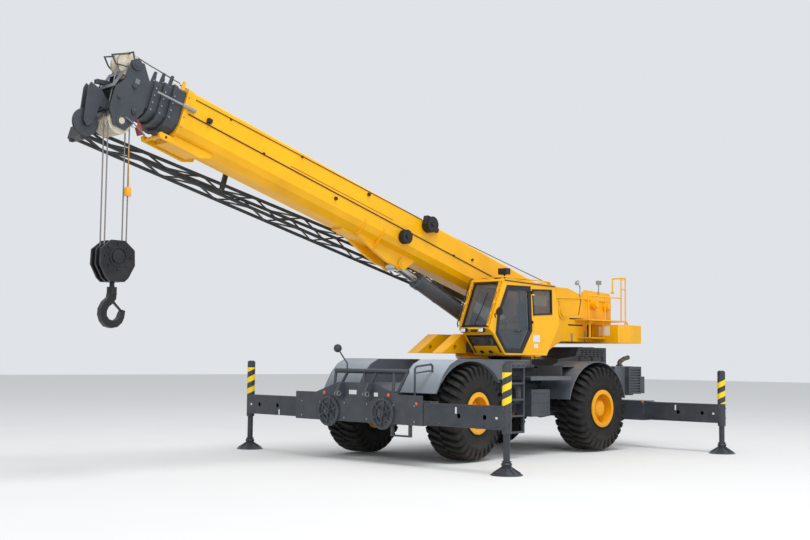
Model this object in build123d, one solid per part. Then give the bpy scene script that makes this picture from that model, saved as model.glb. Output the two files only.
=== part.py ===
from build123d import *
import os
from math import cos, sin, radians, sqrt

# Rough terrain crane, millimetres. X forward, Y left, Z up.
# The origin is on the ground, under the axis of the slew ring.
os.makedirs("parts", exist_ok=True)

# Clearances
FIT = 0.3           # beside a pin, a curved seat or a sliding face
GAP = 5.0           # between pieces that move past each other

# Wheels and axles
TYRE_R = 870.0
TYRE_WIDTH = 674.0
BEAD_R = 345.0
HUB_Z = 890.0
TRACK_HALF = 1300.0
KINGPIN_HALF = 1000.0
FRONT_AXLE_X = 2470.0
REAR_AXLE_X = -1571.0
FRONT_STEER = 7.85  # degrees to the left, as it is parked

# Main frame
RAIL_IN = 420.0
RAIL_OUT = 620.0
RAIL_TOP = 1250.0
RAIL_BOTTOM = 800.0
RAIL_ARCH = 1030.0
RING_BOTTOM = 1750.0
RING_TOP = 1900.0
RING_R = 780.0

# Outriggers
FRONT_FACE_X = 3972.0
REAR_FACE_X = -3447.0
WALL = 12.0
BEAM_WIDTH = 180.0
BEAM_HEIGHT = 385.0
BEAM_CLEAR = 5.0
FRONT_BEAM_Z = 730.0
REAR_BEAM_Z = 622.0
BOX_HALF = 1685.0
JACK_Y = 3480.0
JACK_R = 80.0
JACK_ROD_R = 56.0
BEAM_LENGTH = 2750.0
FLOAT_R = 265.0
JACK_RISE = 1061.0  # from the beam's underside to the top of its jack housing
BEAM_STOP = 40.0    # length of the wear pad in a slot's mouth

# Tow lugs on the front plate
TOW_Y = 375.5
TOW_Z = 1226.0
TOW_OUT = 105.0
TOW_R = 34.0

# Hubs and kingpins
SPINDLE_R = 80.0
HUB_BORE_R = SPINDLE_R + FIT
KING_R = 45.0
KNUCKLE_HALF = 120.0

# Deck
DECK_Z = 1870.0
REAR_DECK_Z = 1765.0
DECK_HALF = 1250.0
FENDER_HALF = 1500.0
SHEET = 20.0
TROUGH_HALF = 550.0
ARCH_TOP = 955.0
ARCH_SIDE = 1010.0
ARCH_IN = 640.0
ARCH_STEPS = 16
TROUGH_Z = 1400.0
HOOD_HALF = 470.0
HOOD_TOP = 2170.0
HOOD_LEAN = 130.0   # how far the hood's front leans back over its height
HOOD_PASS = 20.0    # room under and behind the turntable's nose as it slews past

# Upper structure
PIVOT = (-1519.0, 2931.0)
BOOM_ANGLE = 16.0
PIVOT_PIN_R = 80.0
SIDE_IN = 580.0
SIDE_OUT = 640.0
BASE_TOP = 1945.0
NOSE_TOE = (2138.0, 1995.0)
NOSE_HALF = 470.0
TAIL_X = -2610.0
TAIL_Z = 2290.0
TAIL_TOP = 2680.0
COUNTER_REAR_X = -3585.0
COUNTER_HALF = 1306.0
COUNTER_Z = (2269.0, 2667.0)

# Boom
SECTION_HALF = 379.0
SECTION_TOP = 420.0
SECTION_STEP = 34.0
SECTION_WALL = 12.0
COLLAR_LENGTH = 70.0
BASE_FRONT = 10106.0
BASE_REAR = -300.0
BRACKET_X = 4560.0
BRACKET_Z = -530.0
LIFT_FOOT = (-500.0, 2110.0)
LIFT_PIN_R = 70.0
BARREL_R = 150.0
BARREL_BORE = 112.0
BARREL_LENGTH = 3190.0
ROD_R = 85.0
SHEAVE_R = 200.0
HEAD_SHEAVE = (11010.0, -529.0)
IDLER = (11080.0, 426.0)
NOSE_SHEAVE = (11444.0, -714.0)
HOOK_Y = 120.0

# Cab
CAB_IN = 640.0
CAB_OUT = 1406.0
CAB_WALL = 40.0
CAB_BOTTOM = 1972.0
CAB_FLOOR = CAB_BOTTOM + CAB_WALL
CAB_PANE = (18.0, 26.0)   # depth of a pane's outer and inner face


def shifted(points, amount, closed=False):
    """A line of points moved sideways by one amount. To the right of its direction is positive."""
    count = len(points)
    moved = []
    for k, (x, z) in enumerate(points):
        before = points[k - 1] if closed or k > 0 else None
        after = points[(k + 1) % count] if closed or k < count - 1 else None
        normals = []
        for a, b in ((before, (x, z)), ((x, z), after)):
            if a is not None and b is not None:
                length = sqrt((b[0] - a[0]) ** 2 + (b[1] - a[1]) ** 2)
                normals.append(((b[1] - a[1]) / length, -(b[0] - a[0]) / length))
        nx = sum(n[0] for n in normals) / len(normals)
        nz = sum(n[1] for n in normals) / len(normals)
        square = nx * nx + nz * nz
        moved.append((x + amount * nx / square, z + amount * nz / square))
    return moved


def block(x, y, z):
    """A box between two corners, each axis given as a low and a high value."""
    size = (x[1] - x[0], y[1] - y[0], z[1] - z[0])
    return Pos(x[0], y[0], z[0]) * Box(*size, align=(Align.MIN, Align.MIN, Align.MIN))


def slab_y(outline, y):
    """An outline in X and Z, drawn out across the machine."""
    face = Face(Wire.make_polygon([(px, y[0], pz) for px, pz in outline]))
    return extrude(face, y[1] - y[0], dir=(0, 1, 0))


def slab_x(outline, x):
    """An outline in Y and Z, drawn out along the machine."""
    face = Face(Wire.make_polygon([(x[0], py, pz) for py, pz in outline]))
    return extrude(face, x[1] - x[0], dir=(1, 0, 0))


def rod(start, end, radius):
    """A round bar between two points."""
    a = Vector(*start)
    b = Vector(*end)
    return Solid.make_cylinder(radius, (b - a).length, Plane(origin=a, z_dir=b - a))


def pin_y(x, z, radius, y):
    """A round bar across the machine."""
    return rod((x, y[0], z), (x, y[1], z), radius)


def rail(points, radius):
    """A bent round bar with a mitre in each bend."""
    start = Vector(*points[0])
    circle = Plane(origin=start, z_dir=Vector(*points[1]) - start) * Circle(radius)
    return sweep(circle, path=Polyline(*points), transition=Transition.RIGHT)


def spun(profile, segments=360):
    """A profile of radius and height, turned about Z, laid along Y."""
    face = Face(Wire.make_polygon([(r, 0, h) for r, h in profile]))
    return Rot(-90, 0, 0) * revolve(face, Axis.Z, segments)


def fuse(shapes):
    """Joins shapes to one."""
    whole = shapes[0]
    for shape in shapes[1:]:
        whole = whole + shape
    return whole


def both_sides(shape):
    """A shape and its mirror image across the middle plane."""
    return shape + mirror(shape, Plane.XZ)


def write(name, *shapes):
    """Writes one node. Pieces that touch nothing stay separate solids in it."""
    solids = []
    for shape in shapes:
        solids.extend(shape.solids())
    export_step(Compound(children=solids), f"parts/{name}.step")


def in_boom(shape):
    """Moves a shape from the boom's own axes to its place on the machine."""
    return Pos(PIVOT[0], 0, PIVOT[1]) * Rot(0, -BOOM_ANGLE, 0) * shape


def boom_point(x, z):
    """The place on the machine of a point in the boom's own axes."""
    c = cos(radians(BOOM_ANGLE))
    s = sin(radians(BOOM_ANGLE))
    return (PIVOT[0] + x * c - z * s, PIVOT[1] + x * s + z * c)


# Wheels and axles


def tyre():
    """A carcass open at its beads, with round shoulders."""
    half = TYRE_WIDTH / 2
    outer = [(BEAD_R, half - 60), (520, half - 8), (650, half), (780, half - 10)]
    outer += [(846, half - 42), (TYRE_R, half - 110)]
    inner = [(805, half - 130), (760, half - 75), (620, half - 58), (BEAD_R, half - 115)]
    profile = outer + [(r, -h) for r, h in reversed(outer)]
    profile += [(r, -h) for r, h in reversed(inner)] + inner
    return spun(profile)


def rim():
    """A wheel centre with a deep dish, a planetary hub and a bore for the spindle."""
    half = TYRE_WIDTH / 2
    seat = BEAD_R - FIT
    flange = [(seat - 30, -half + 14), (seat + 42, -half + 14), (seat + 42, -half + 32)]
    flange += [(seat, -half + 60), (seat, half - 60), (seat + 42, half - 32)]
    flange += [(seat + 42, half - 14), (seat - 30, half - 14)]
    barrel = spun(flange)
    dish = spun([(180, 60), (seat - 25, 60), (seat - 25, 100), (250, 130), (180, 130)])
    hub = spun([(0, 90), (HUB_BORE_R, 90), (HUB_BORE_R, -150), (190, -150), (190, 200),
                (150, 262), (70, 279), (0, 279)])
    return barrel + dish + hub


def knuckle():
    """A steering knuckle: kingpin block, flange and spindle. Wheel centre at the origin."""
    inset = KINGPIN_HALF - TRACK_HALF
    block_half = KNUCKLE_HALF - FIT
    body = Pos(0, inset, 0) * Cylinder(95, 2 * block_half)
    arm = block((-75, 75), (inset, -190), (-block_half, block_half))
    flange = rod((0, -215, 0), (0, -165, 0), 160)
    spindle = rod((0, -165, 0), (0, 75, 0), SPINDLE_R)
    king = Pos(0, inset, 0) * Cylinder(KING_R, 2 * (KNUCKLE_HALF + 50))
    return body + arm + flange + spindle + king


def place_wheel(shape, axle_x, side, steer):
    """Puts a wheel piece on its kingpin, steered. Side is 1 on the left, -1 on the right."""
    turned = shape if side > 0 else Rot(0, 0, 180) * shape
    reach = side * (TRACK_HALF - KINGPIN_HALF)
    at_king = Rot(0, 0, steer) * Pos(0, reach, 0) * turned
    return Pos(axle_x, side * KINGPIN_HALF, HUB_Z) * at_king


def axle(x):
    """An axle housing with its differential bowl, rail pads and kingpin yokes."""
    tube = rod((x, -830, HUB_Z), (x, 830, HUB_Z), 105)
    bowl = Pos(x, 0, HUB_Z) * spun([(0, -270), (150, -230), (235, -120), (255, 0),
                                   (235, 120), (150, 230), (0, 270)])
    nose = rod((x, 0, HUB_Z), (x - 330 if x > 0 else x + 330, 0, HUB_Z), 95)
    pads = both_sides(block((x - 120, x + 120), (RAIL_IN + 20, RAIL_OUT - 20),
                            (HUB_Z, RAIL_ARCH)))
    back = block((x - 80, x + 80), (800, 850), (HUB_Z - 165, HUB_Z + 165))
    ear = block((x - 80, x + 80), (850, KINGPIN_HALF), (KNUCKLE_HALF, 165))
    ear = ear + Pos(x, KINGPIN_HALF, (KNUCKLE_HALF + 165) / 2) * Cylinder(80, 165 - KNUCKLE_HALF)
    ears = Pos(0, 0, HUB_Z) * ear + Pos(0, 0, HUB_Z) * mirror(ear, Plane.XY)
    yoke = back + ears - Pos(x, KINGPIN_HALF, HUB_Z) * Cylinder(KING_R + FIT, 400)
    return tube + bowl + nose + pads + both_sides(yoke)


# node ending, axle place, side, steering at rest
WHEELS = [("front_left", FRONT_AXLE_X, 1, FRONT_STEER),
          ("front_right", FRONT_AXLE_X, -1, FRONT_STEER),
          ("rear_left", REAR_AXLE_X, 1, 0.0),
          ("rear_right", REAR_AXLE_X, -1, 0.0)]

for place, axle_x, side, steer in WHEELS:
    write(f"tyre_{place}", place_wheel(tyre(), axle_x, side, steer))
    write(f"rim_{place}", place_wheel(rim(), axle_x, side, steer))
    write(f"knuckle_{place}", place_wheel(knuckle(), axle_x, side, steer))
write("axles", axle(FRONT_AXLE_X), axle(REAR_AXLE_X))


# Outriggers

SLOT = BEAM_WIDTH + 2 * BEAM_CLEAR


def slot_centres(face_x, inward):
    """The X places of the two beam slots behind an outer face."""
    first = face_x + inward * (WALL + SLOT / 2)
    return first, first + inward * (SLOT + WALL)


STEP_X = FRONT_FACE_X - 75
FRONT_OUTER, FRONT_INNER = slot_centres(FRONT_FACE_X, -1)
REAR_OUTER, REAR_INNER = slot_centres(REAR_FACE_X, 1)
BOX_DEPTH = 2 * SLOT + 3 * WALL


def outrigger_box(face_x, inward, beam_z, left_slot, right_slot):
    """A twin box across the frame. Each slot is open where its own beam comes out."""
    x = sorted((face_x, face_x + inward * BOX_DEPTH))
    z = (beam_z - BEAM_CLEAR - WALL, beam_z + BEAM_HEIGHT + BEAM_CLEAR + WALL)
    box = block(x, (-BOX_HALF, BOX_HALF), z)
    hollow_z = (beam_z - BEAM_CLEAR, beam_z + BEAM_HEIGHT + BEAM_CLEAR)
    for centre, side in ((left_slot, 1), (right_slot, -1)):
        y = sorted((side * (BOX_HALF + 1), -side * (BOX_HALF - WALL)))
        box = box - block((centre - SLOT / 2, centre + SLOT / 2), y, hollow_z)
        y = sorted((side * (BOX_HALF - 20), side * (BOX_HALF - 20 - BEAM_STOP)))
        box = box + block((centre - SLOT / 2, centre + SLOT / 2), y, (beam_z - BEAM_CLEAR, beam_z))
    return box


def front_plate():
    """The peaked bumper plate with two lugs, spare float brackets and a step."""
    top = FRONT_BEAM_Z + BEAM_HEIGHT + BEAM_CLEAR + WALL
    outline = [(-BOX_HALF, top), (-BOX_HALF, top + 105), (-1098, top + 107), (-473, 1436),
               (473, 1436), (1098, top + 107), (BOX_HALF, top + 105), (BOX_HALF, top)]
    peak = slab_x(outline, (FRONT_FACE_X - WALL, FRONT_FACE_X))
    lug_outline = [(0, 1425), (60, 1425), (150, 1260), (150, 1190), (105, 1160), (0, 1100)]
    lug = slab_y([(FRONT_FACE_X + dx, z) for dx, z in lug_outline], (TOW_Y - 25, TOW_Y + 25))
    lug = lug - pin_y(FRONT_FACE_X + TOW_OUT, TOW_Z, TOW_R, (TOW_Y - 100, TOW_Y + 100))
    step = []
    for y in (915.0, 1355.0):
        step.append(block((STEP_X, STEP_X + 60), (y - 20, y + 20),
                          (500, FRONT_BEAM_Z - BEAM_CLEAR - WALL)))
    step.append(block((STEP_X, STEP_X + 60), (895, 1375), (500, 530)))
    return fuse([peak, both_sides(lug)] + step)


def beam(face_side, centre, beam_z):
    """A beam and its jack housing. The beam has two lightening holes near its end."""
    inner = JACK_Y - JACK_R + 10 - BEAM_LENGTH
    body = block((centre - BEAM_WIDTH / 2, centre + BEAM_WIDTH / 2),
                 (inner, JACK_Y), (beam_z, beam_z + BEAM_HEIGHT))
    core = block((centre - BEAM_WIDTH / 2 + WALL, centre + BEAM_WIDTH / 2 - WALL),
                 (inner - 1, JACK_Y - JACK_R - 40), (beam_z + WALL, beam_z + BEAM_HEIGHT - WALL))
    holes = []
    for y in (JACK_Y - 970, JACK_Y - 400):
        holes.append(rod((centre - 200, y, beam_z + BEAM_HEIGHT / 2),
                         (centre + 200, y, beam_z + BEAM_HEIGHT / 2), 42))
    hole_cut = fuse(holes)
    top = beam_z + JACK_RISE
    housing = rod((centre, JACK_Y, beam_z - 60), (centre, JACK_Y, top), JACK_R)
    cap = rod((centre, JACK_Y, top), (centre, JACK_Y, top + 18), JACK_R - 20)
    bore = rod((centre, JACK_Y, beam_z - 61), (centre, JACK_Y, top - 30), JACK_ROD_R + FIT)
    whole = (body - core - hole_cut) + housing + cap - bore
    return whole if face_side > 0 else mirror(whole, Plane.XZ)


def jack(side, centre, beam_z):
    """A jack rod with its ball and its cone-shaped float."""
    foot = [(0, 0), (FLOAT_R, 0), (FLOAT_R, 14), (FLOAT_R - 25, 26), (95, 115), (78, 120),
            (78, 150), (0, 150)]
    face = Face(Wire.make_polygon([(r, 0, h) for r, h in foot]))
    cone = revolve(face, Axis.Z)
    ball = Pos(0, 0, 165) * Sphere(70)
    ribs = []
    for turn in range(0, 360, 45):
        rib = slab_y([(80, 100), (FLOAT_R - 30, 18), (FLOAT_R - 30, 30), (80, 135)], (-5, 5))
        ribs.append(Rot(0, 0, turn) * rib)
    stem = rod((0, 0, 120), (0, 0, beam_z + 650), JACK_ROD_R)
    whole = fuse([cone, ball, stem] + ribs)
    return Pos(centre, side * JACK_Y, 0) * whole


# node ending, side, slot centre, beam height
BEAMS = [("front_left", 1, FRONT_OUTER, FRONT_BEAM_Z),
         ("front_right", -1, FRONT_INNER, FRONT_BEAM_Z),
         ("rear_left", 1, REAR_INNER, REAR_BEAM_Z),
         ("rear_right", -1, REAR_OUTER, REAR_BEAM_Z)]

for place, side, centre, beam_z in BEAMS:
    write(f"beam_{place}", beam(side, centre, beam_z))
    write(f"jack_{place}", jack(side, centre, beam_z))
write("outrigger_boxes",
      outrigger_box(FRONT_FACE_X, -1, FRONT_BEAM_Z, FRONT_OUTER, FRONT_INNER) + front_plate(),
      outrigger_box(REAR_FACE_X, 1, REAR_BEAM_Z, REAR_INNER, REAR_OUTER))

FRONT_BOX_REAR = FRONT_FACE_X - BOX_DEPTH
REAR_BOX_FRONT = REAR_FACE_X + BOX_DEPTH


# Main frame


def main_frame():
    """Two deep rails arched over the axles, cross members and the slew ring's tower."""
    outline = [(REAR_BOX_FRONT, RAIL_TOP), (REAR_BOX_FRONT, 650)]
    for x, low in ((REAR_AXLE_X, 700), (FRONT_AXLE_X, RAIL_BOTTOM)):
        outline += [(x - 560, low), (x - 380, RAIL_ARCH), (x + 380, RAIL_ARCH),
                    (x + 560, RAIL_BOTTOM)]
    outline += [(FRONT_BOX_REAR, 730), (FRONT_BOX_REAR, RAIL_TOP)]
    rails = both_sides(slab_y(outline, (RAIL_IN, RAIL_OUT)))
    members = []
    for x, z in ((-2600, 1020), (-500, 900), (700, 900), (3150, 950)):
        members.append(block((x - 60, x + 60), (-RAIL_IN, RAIL_IN), (z, RAIL_TOP)))
    tower = block((-720, 720), (-RAIL_OUT, RAIL_OUT), (RAIL_TOP, RING_BOTTOM - 40))
    floor = block((-720, 720), (-RAIL_OUT, RAIL_OUT), (RAIL_TOP - 50, RAIL_TOP))
    hollow = block((-650, 650), (-600, 600), (RAIL_TOP, RING_BOTTOM - 40))
    seat = Pos(0, 0, RING_BOTTOM - 20) * Cylinder(RING_R + 40, 40)
    well = Pos(0, 0, RING_BOTTOM - 20) * Cylinder(RING_R - 220, 90)
    rear_tie = block((REAR_BOX_FRONT, REAR_BOX_FRONT + 40), (-RAIL_OUT, RAIL_OUT),
                     (650, RAIL_TOP))
    front_tie = block((FRONT_BOX_REAR - 40, FRONT_BOX_REAR), (-RAIL_OUT, RAIL_OUT),
                      (730, RAIL_TOP))
    return fuse([rails, rear_tie, front_tie, floor, tower - hollow, seat] + members) - well


def slew_ring():
    """The lower race of the slewing bearing, with its inner gear step."""
    ring = Pos(0, 0, (RING_BOTTOM + RING_TOP) / 2) * Cylinder(RING_R, RING_TOP - RING_BOTTOM)
    bore = Pos(0, 0, RING_TOP) * Cylinder(RING_R - 160, 400)
    groove = Pos(0, 0, RING_BOTTOM + 90) * (Cylinder(RING_R + 10, 16) - Cylinder(RING_R - 14, 16))
    return ring - bore - groove


write("main_frame", main_frame())
write("slew_ring", slew_ring())


# Decks, hood and what stands on them


def sheet_y(outline, y, thick=SHEET):
    """A bent sheet across the machine: an upper line in X and Z, and its thickness."""
    return slab_y(outline + list(reversed(shifted(outline, thick))), y)


def arch_line(x, first, last, extra=0.0):
    """The line of a wheel arch: high over the hub, wider ahead and behind for the steered tyre.

    The half circle over the hub has ARCH_STEPS equal steps, counted from ahead.
    """
    points = []
    for k in range(first, last + 1):
        turn = radians(180 * k / ARCH_STEPS)
        reach = ARCH_TOP + (ARCH_SIDE - ARCH_TOP) * cos(turn) ** 2 + extra
        points.append((x + reach * cos(turn), HUB_Z + reach * sin(turn)))
    return points


def arch(x, first, last):
    """A fender sheet over a wheel, from one step of the arch to another."""
    outer = arch_line(x, first, last, SHEET)
    return slab_y(outer + list(reversed(arch_line(x, first, last))), (ARCH_IN, FENDER_HALF))


def arch_space(x):
    """The room that the steered wheel needs."""
    line = arch_line(x, 0, ARCH_STEPS)
    return both_sides(slab_y(line, (ARCH_IN, FENDER_HALF + 100)))


def front_deck():
    """The deck over the front wheels with a trough for the boom's lift cylinder."""
    line = [(720, DECK_Z), (2850, DECK_Z), (3050, 1775), (3225, 1600), (3425, 1262)]
    panels = sheet_y(line, (TROUGH_HALF, FENDER_HALF))
    wall_line = line[1:] + [(3300, 1252), (2900, TROUGH_Z), (900, TROUGH_Z), (900, DECK_Z)]
    wall = slab_y(wall_line, (TROUGH_HALF, TROUGH_HALF + SHEET))
    floor = block((900, 2900), (-TROUGH_HALF, TROUGH_HALF), (TROUGH_Z, TROUGH_Z + SHEET))
    ramp = slab_y([(2900, TROUGH_Z), (3300, 1252), (3300, 1272), (2900, TROUGH_Z + SHEET)],
                  (-TROUGH_HALF, TROUGH_HALF))
    legs = [block((x, x + 60), (TROUGH_HALF, RAIL_OUT), (RAIL_TOP, TROUGH_Z)) for x in (950, 2700)]
    side_line = line + [(3300, 1262), (3300, 1150), (1500, 1150), (1500, DECK_Z)]
    side = slab_y(side_line, (FENDER_HALF - SHEET, FENDER_HALF))
    side = side - block((1400, 1700), (0, 2000), (1100, 1500))
    liner = arch(FRONT_AXLE_X, 6, 13)
    halves = both_sides(fuse([panels, wall, side] + legs)) + floor + ramp - arch_space(FRONT_AXLE_X)
    return halves + both_sides(liner) - Cylinder(RING_R + 60, 4000)


def rear_deck():
    """The deck over the rear wheels, its fenders and the ledges between the wheels."""
    top = block((-3280, -700), (-DECK_HALF, DECK_HALF), (REAR_DECK_Z - SHEET, REAR_DECK_Z))
    top = top - block((-3360, -1610), (40 - HOOD_HALF, HOOD_HALF - 40),
                      (REAR_DECK_Z - 100, REAR_DECK_Z + 100))
    ledge = block((-650, 690), (RAIL_OUT, FENDER_HALF), (1536, 1556))
    ledge = ledge + block((-650, 690), (FENDER_HALF - SHEET, FENDER_HALF), (1480, 1556))
    web = block((-660, -640), (RAIL_OUT, DECK_HALF), (1536, REAR_DECK_Z - SHEET))
    side = block((-3280, -2560), (DECK_HALF - SHEET, DECK_HALF), (1130, REAR_DECK_Z - SHEET))
    tail = block((-3280, -3260), (RAIL_OUT - 10, DECK_HALF), (1130, REAR_DECK_Z - SHEET))
    legs = [block((x, x + 60), (RAIL_OUT - 60, RAIL_OUT), (RAIL_TOP, REAR_DECK_Z - SHEET))
            for x in (-3040, -900)]
    rail_web = block((-3260, -730), (RAIL_OUT - 10, RAIL_OUT), (RAIL_TOP, REAR_DECK_Z - SHEET))
    parts = top + both_sides(fuse([ledge, web, side, tail, rail_web] + legs))
    whole = parts - arch_space(REAR_AXLE_X) + both_sides(arch(REAR_AXLE_X, 1, ARCH_STEPS - 1))
    return whole - Cylinder(RING_R + 60, 4000)


write("decks", front_deck(), rear_deck())


def hood():
    """The engine hood, a hollow cover with louvred sides. Its front is low under the nose's swing."""
    toe_x, toe_z = NOSE_TOE
    swing = sqrt(toe_x ** 2 + NOSE_HALF ** 2)
    foot_x = -swing - HOOD_PASS / 2
    line = [(-3380, REAR_DECK_Z), (-3380, HOOD_TOP), (foot_x - HOOD_LEAN, HOOD_TOP),
            (foot_x, toe_z - HOOD_PASS), (-1900, 1940), (-1560, 1900), (-1560, REAR_DECK_Z)]
    shell = slab_y(line, (-HOOD_HALF, HOOD_HALF))
    inside = shifted(line, SHEET)
    inside = [(inside[0][0], REAR_DECK_Z - 10)] + inside[1:-1] + [(inside[-1][0], REAR_DECK_Z - 10)]
    shell = shell - slab_y(inside, (SHEET - HOOD_HALF, HOOD_HALF - SHEET))
    for k in range(6):
        x = -3250 + 150 * k
        slot = block((x, x + 90), (-HOOD_HALF - 1, HOOD_HALF + 1), (1960, 1975))
        for row in range(4):
            shell = shell - Pos(0, 0, 45 * row) * slot
    return shell


write("engine_hood", hood())
write("engine_block", block((-3150, -2050), (-330, 330), (RAIL_TOP, 1900)))


def cooler():
    """The cooler at the rear left corner, with its louvres, and the exhaust pipe."""
    case = block((-3440, -2960), (DECK_HALF, DECK_HALF + 110), (1160, 1760))
    small = block((-3600, -3440), (DECK_HALF - 250, DECK_HALF + 90), (1170, 1540))
    for k in range(9):
        z = 1200 + 58 * k
        case = case - block((-3400, -3000), (DECK_HALF + 80, DECK_HALF + 111), (z, z + 30))
    for k in range(6):
        z = 1200 + 52 * k
        small = small - block((-3601, -3575), (DECK_HALF - 210, DECK_HALF + 50), (z, z + 26))
    pipe = rail([(-2900, 1150, REAR_DECK_Z), (-2900, 1150, 1850), (-3060, 1150, 1920),
                 (-3240, 1150, 1955)], 45)
    return case + small, pipe


write("cooler", *cooler())


def tanks():
    """Air and fuel tanks under the ledges, and the lockers beside them."""
    left_locker = block((30, 620), (1080, FENDER_HALF - 40), (770, 1300))
    drum = rod((690, 1150, 1205), (960, 1150, 1205), 200)
    hanger = block((300, 340), (RAIL_OUT, 1080), (1000, 1060))
    hanger2 = block((100, 140), (RAIL_OUT, 1080), (1000, 1060))
    strap = block((790, 850), (RAIL_OUT, 960), (1160, 1230))
    left = left_locker + hanger + hanger2
    right_tank = block((-420, 1300), (-FENDER_HALF + 60, -900), (760, 1420))
    right = right_tank + block((0, 60), (-900, -RAIL_OUT), (1000, 1100))
    right = right + block((900, 960), (-900, -RAIL_OUT), (1000, 1100))
    return left, drum + strap, right


write("side_tanks", *tanks())


def ladder(x0, x1, y, z0, z1, inward):
    """Two side bars, four rungs and a stay back to the frame."""
    bars = [block((x - 18, x + 18), (y - 30, y + 30), (z0, z1)) for x in (x0, x1)]
    rungs = [block((x0, x1), (y - 45, y + 45), (z0 + k * (z1 - z0 - 40) / 4,
                                               z0 + 36 + k * (z1 - z0 - 40) / 4))
             for k in range(5)]
    y_in = sorted((y, inward))
    stays = [block((x1 - 18, x1 + 18), y_in, (z1 - 110, z1 - 60)),
             block((x0 - 18, x0 + 18), y_in, (z1 - 110, z1 - 60))]
    return fuse(bars + rungs + stays)


write("ladders", ladder(1000, 1420, 1545, 480, 1760, 1545 - 45)
      + block((1000, 1420), (1100, 1520), (1740, 1760))
      + block((1190, 1250), (TROUGH_HALF + SHEET, 1110), (1690, 1760)))


MIRROR_R = 80.0
FRONT_BOX_TOP = FRONT_BEAM_Z + BEAM_HEIGHT + BEAM_CLEAR + WALL


def boom_rest():
    """A round bar on three V supports, with the forward view mirror on its end."""
    x = FRONT_FACE_X - 380
    bar = rod((x, -960, 1640), (x, 960, 1640), 45)
    parts = [bar]
    for foot_y in (-790.0, 0.0, 790.0):
        for lean in (-170.0, 170.0):
            parts.append(rod((FRONT_FACE_X - 200, foot_y + lean / 5, FRONT_BOX_TOP + 40),
                             (x, foot_y + lean, 1640), 28))
        parts.append(block((FRONT_FACE_X - 260, FRONT_FACE_X - 120), (foot_y - 110, foot_y + 110),
                           (FRONT_BOX_TOP, FRONT_BOX_TOP + 50)))
    stalk = rail([(x, -650, 1640), (x, -650, 1780), (x, -900, 2040)], 14)
    ball = Solid.make_sphere(MIRROR_R, Plane(origin=(x, -925, 2066), z_dir=(0, -25, 26)))
    return fuse(parts + [stalk, ball])


write("boom_rest", boom_rest())


def spare_float(y):
    """A wheel chock carried as a round dish on the front plate."""
    x = FRONT_FACE_X
    z = 889
    dish = rod((x, y, z), (x + 40, y, z), 280)
    hollow = rod((x + 12, y, z), (x + 72, y, z), 240)
    hub = rod((x, y, z), (x + 85, y, z), 70)
    bars = [Pos(x, y, z) * Rot(turn, 0, 0) * block((0, 34), (-250, 250), (-16, 16))
            for turn in (20, 80, 140)]
    return fuse([dish - hollow, hub] + bars)


write("spare_floats", spare_float(720), spare_float(-720))


# Upper structure


def turntable():
    """The slewing weldment: base plate, nose, side plates with the boom ears, and tail."""
    base = Pos(0, 0, (RING_TOP + BASE_TOP) / 2) * Cylinder(RING_R + 30, BASE_TOP - RING_TOP)
    nose = slab_y([(-300, BASE_TOP), (-300, 2375), (1544, 2375), NOSE_TOE, (700, NOSE_TOE[1]),
                   (700, BASE_TOP)], (190, NOSE_HALF))
    nose = nose - pin_y(1762, 2110, 50, (100, 600))
    side = slab_y([(-560, BASE_TOP), (-620, 2330), (-1240, 2980), (-1300, 3440), (-1700, 3440),
                   (-2230, 3300), (-2280, 2850), (TAIL_X, TAIL_TOP), (TAIL_X, TAIL_Z),
                   (-1450, TAIL_Z), (-700, BASE_TOP)], (SIDE_IN, SIDE_OUT))
    inner = slab_y([(500, BASE_TOP), (500, 2150), (-700, 2450), (-1450, 2500), (-1450, TAIL_Z),
                    (-700, BASE_TOP)], (NOSE_HALF, SIDE_IN))
    ear = pin_y(PIVOT[0], PIVOT[1], 170, (500, SIDE_OUT + 15))
    foot_ear = slab_y([(-760, BASE_TOP), (-240, BASE_TOP), (-380, 2240), (-620, 2240)],
                      (190, 270))
    halves = both_sides(fuse([nose, side, inner, ear, foot_ear]))
    tail_floor = block((TAIL_X, -1450), (-SIDE_IN, SIDE_IN), (TAIL_Z, TAIL_Z + 30))
    tail_wall = block((TAIL_X, TAIL_X + 30), (-SIDE_IN, SIDE_IN), (TAIL_Z, TAIL_TOP))
    slope = slab_y([(-650, BASE_TOP - 23), (-1450, TAIL_Z), (-1450, TAIL_Z + 30), (-630, BASE_TOP + 7)],
                   (-SIDE_IN, SIDE_IN))
    cab_arm = block((100, 1100), (460, CAB_IN + 400), (BASE_TOP + 5, CAB_BOTTOM))
    whole = fuse([base, halves, tail_floor, tail_wall, slope, cab_arm])
    whole = whole - pin_y(PIVOT[0], PIVOT[1], PIVOT_PIN_R + FIT, (-900, 900))
    whole = whole - pin_y(LIFT_FOOT[0], LIFT_FOOT[1], LIFT_PIN_R + FIT, (-400, 400))
    return whole


write("turntable", turntable())
write("counterweight",
      chamfer(block((COUNTER_REAR_X, TAIL_X), (-COUNTER_HALF, COUNTER_HALF), COUNTER_Z)
              .edges().filter_by(Axis.Z).group_by(Axis.X)[0], 60))

# drum node, X, Z, drum radius, flange radius
DRUMS = [("main_drum", -2690.0, 3130.0, 165.0, 255.0),
         ("auxiliary_drum", -3190.0, 3090.0, 150.0, 235.0)]


def hoist_frame():
    """Two side plates on a base plate, with bearings for the drums."""
    plate = slab_y([(-2345, 2720), (-2345, 3380), (-2420, 3440), (-3360, 3400), (-3430, 3300),
                    (-3430, 2720)], (530, 570))
    base = block((-3430, -2345), (-570, 570), (TAIL_TOP, 2720))
    motor = pin_y(-2690, 3130, 110, (570, 690)) + pin_y(-3190, 3090, 95, (570, 670))
    whole = both_sides(plate) + base + motor
    for _, x, z, _, _ in DRUMS:
        whole = whole - pin_y(x, z, 60 + FIT, (-560, 560))
    return whole


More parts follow.
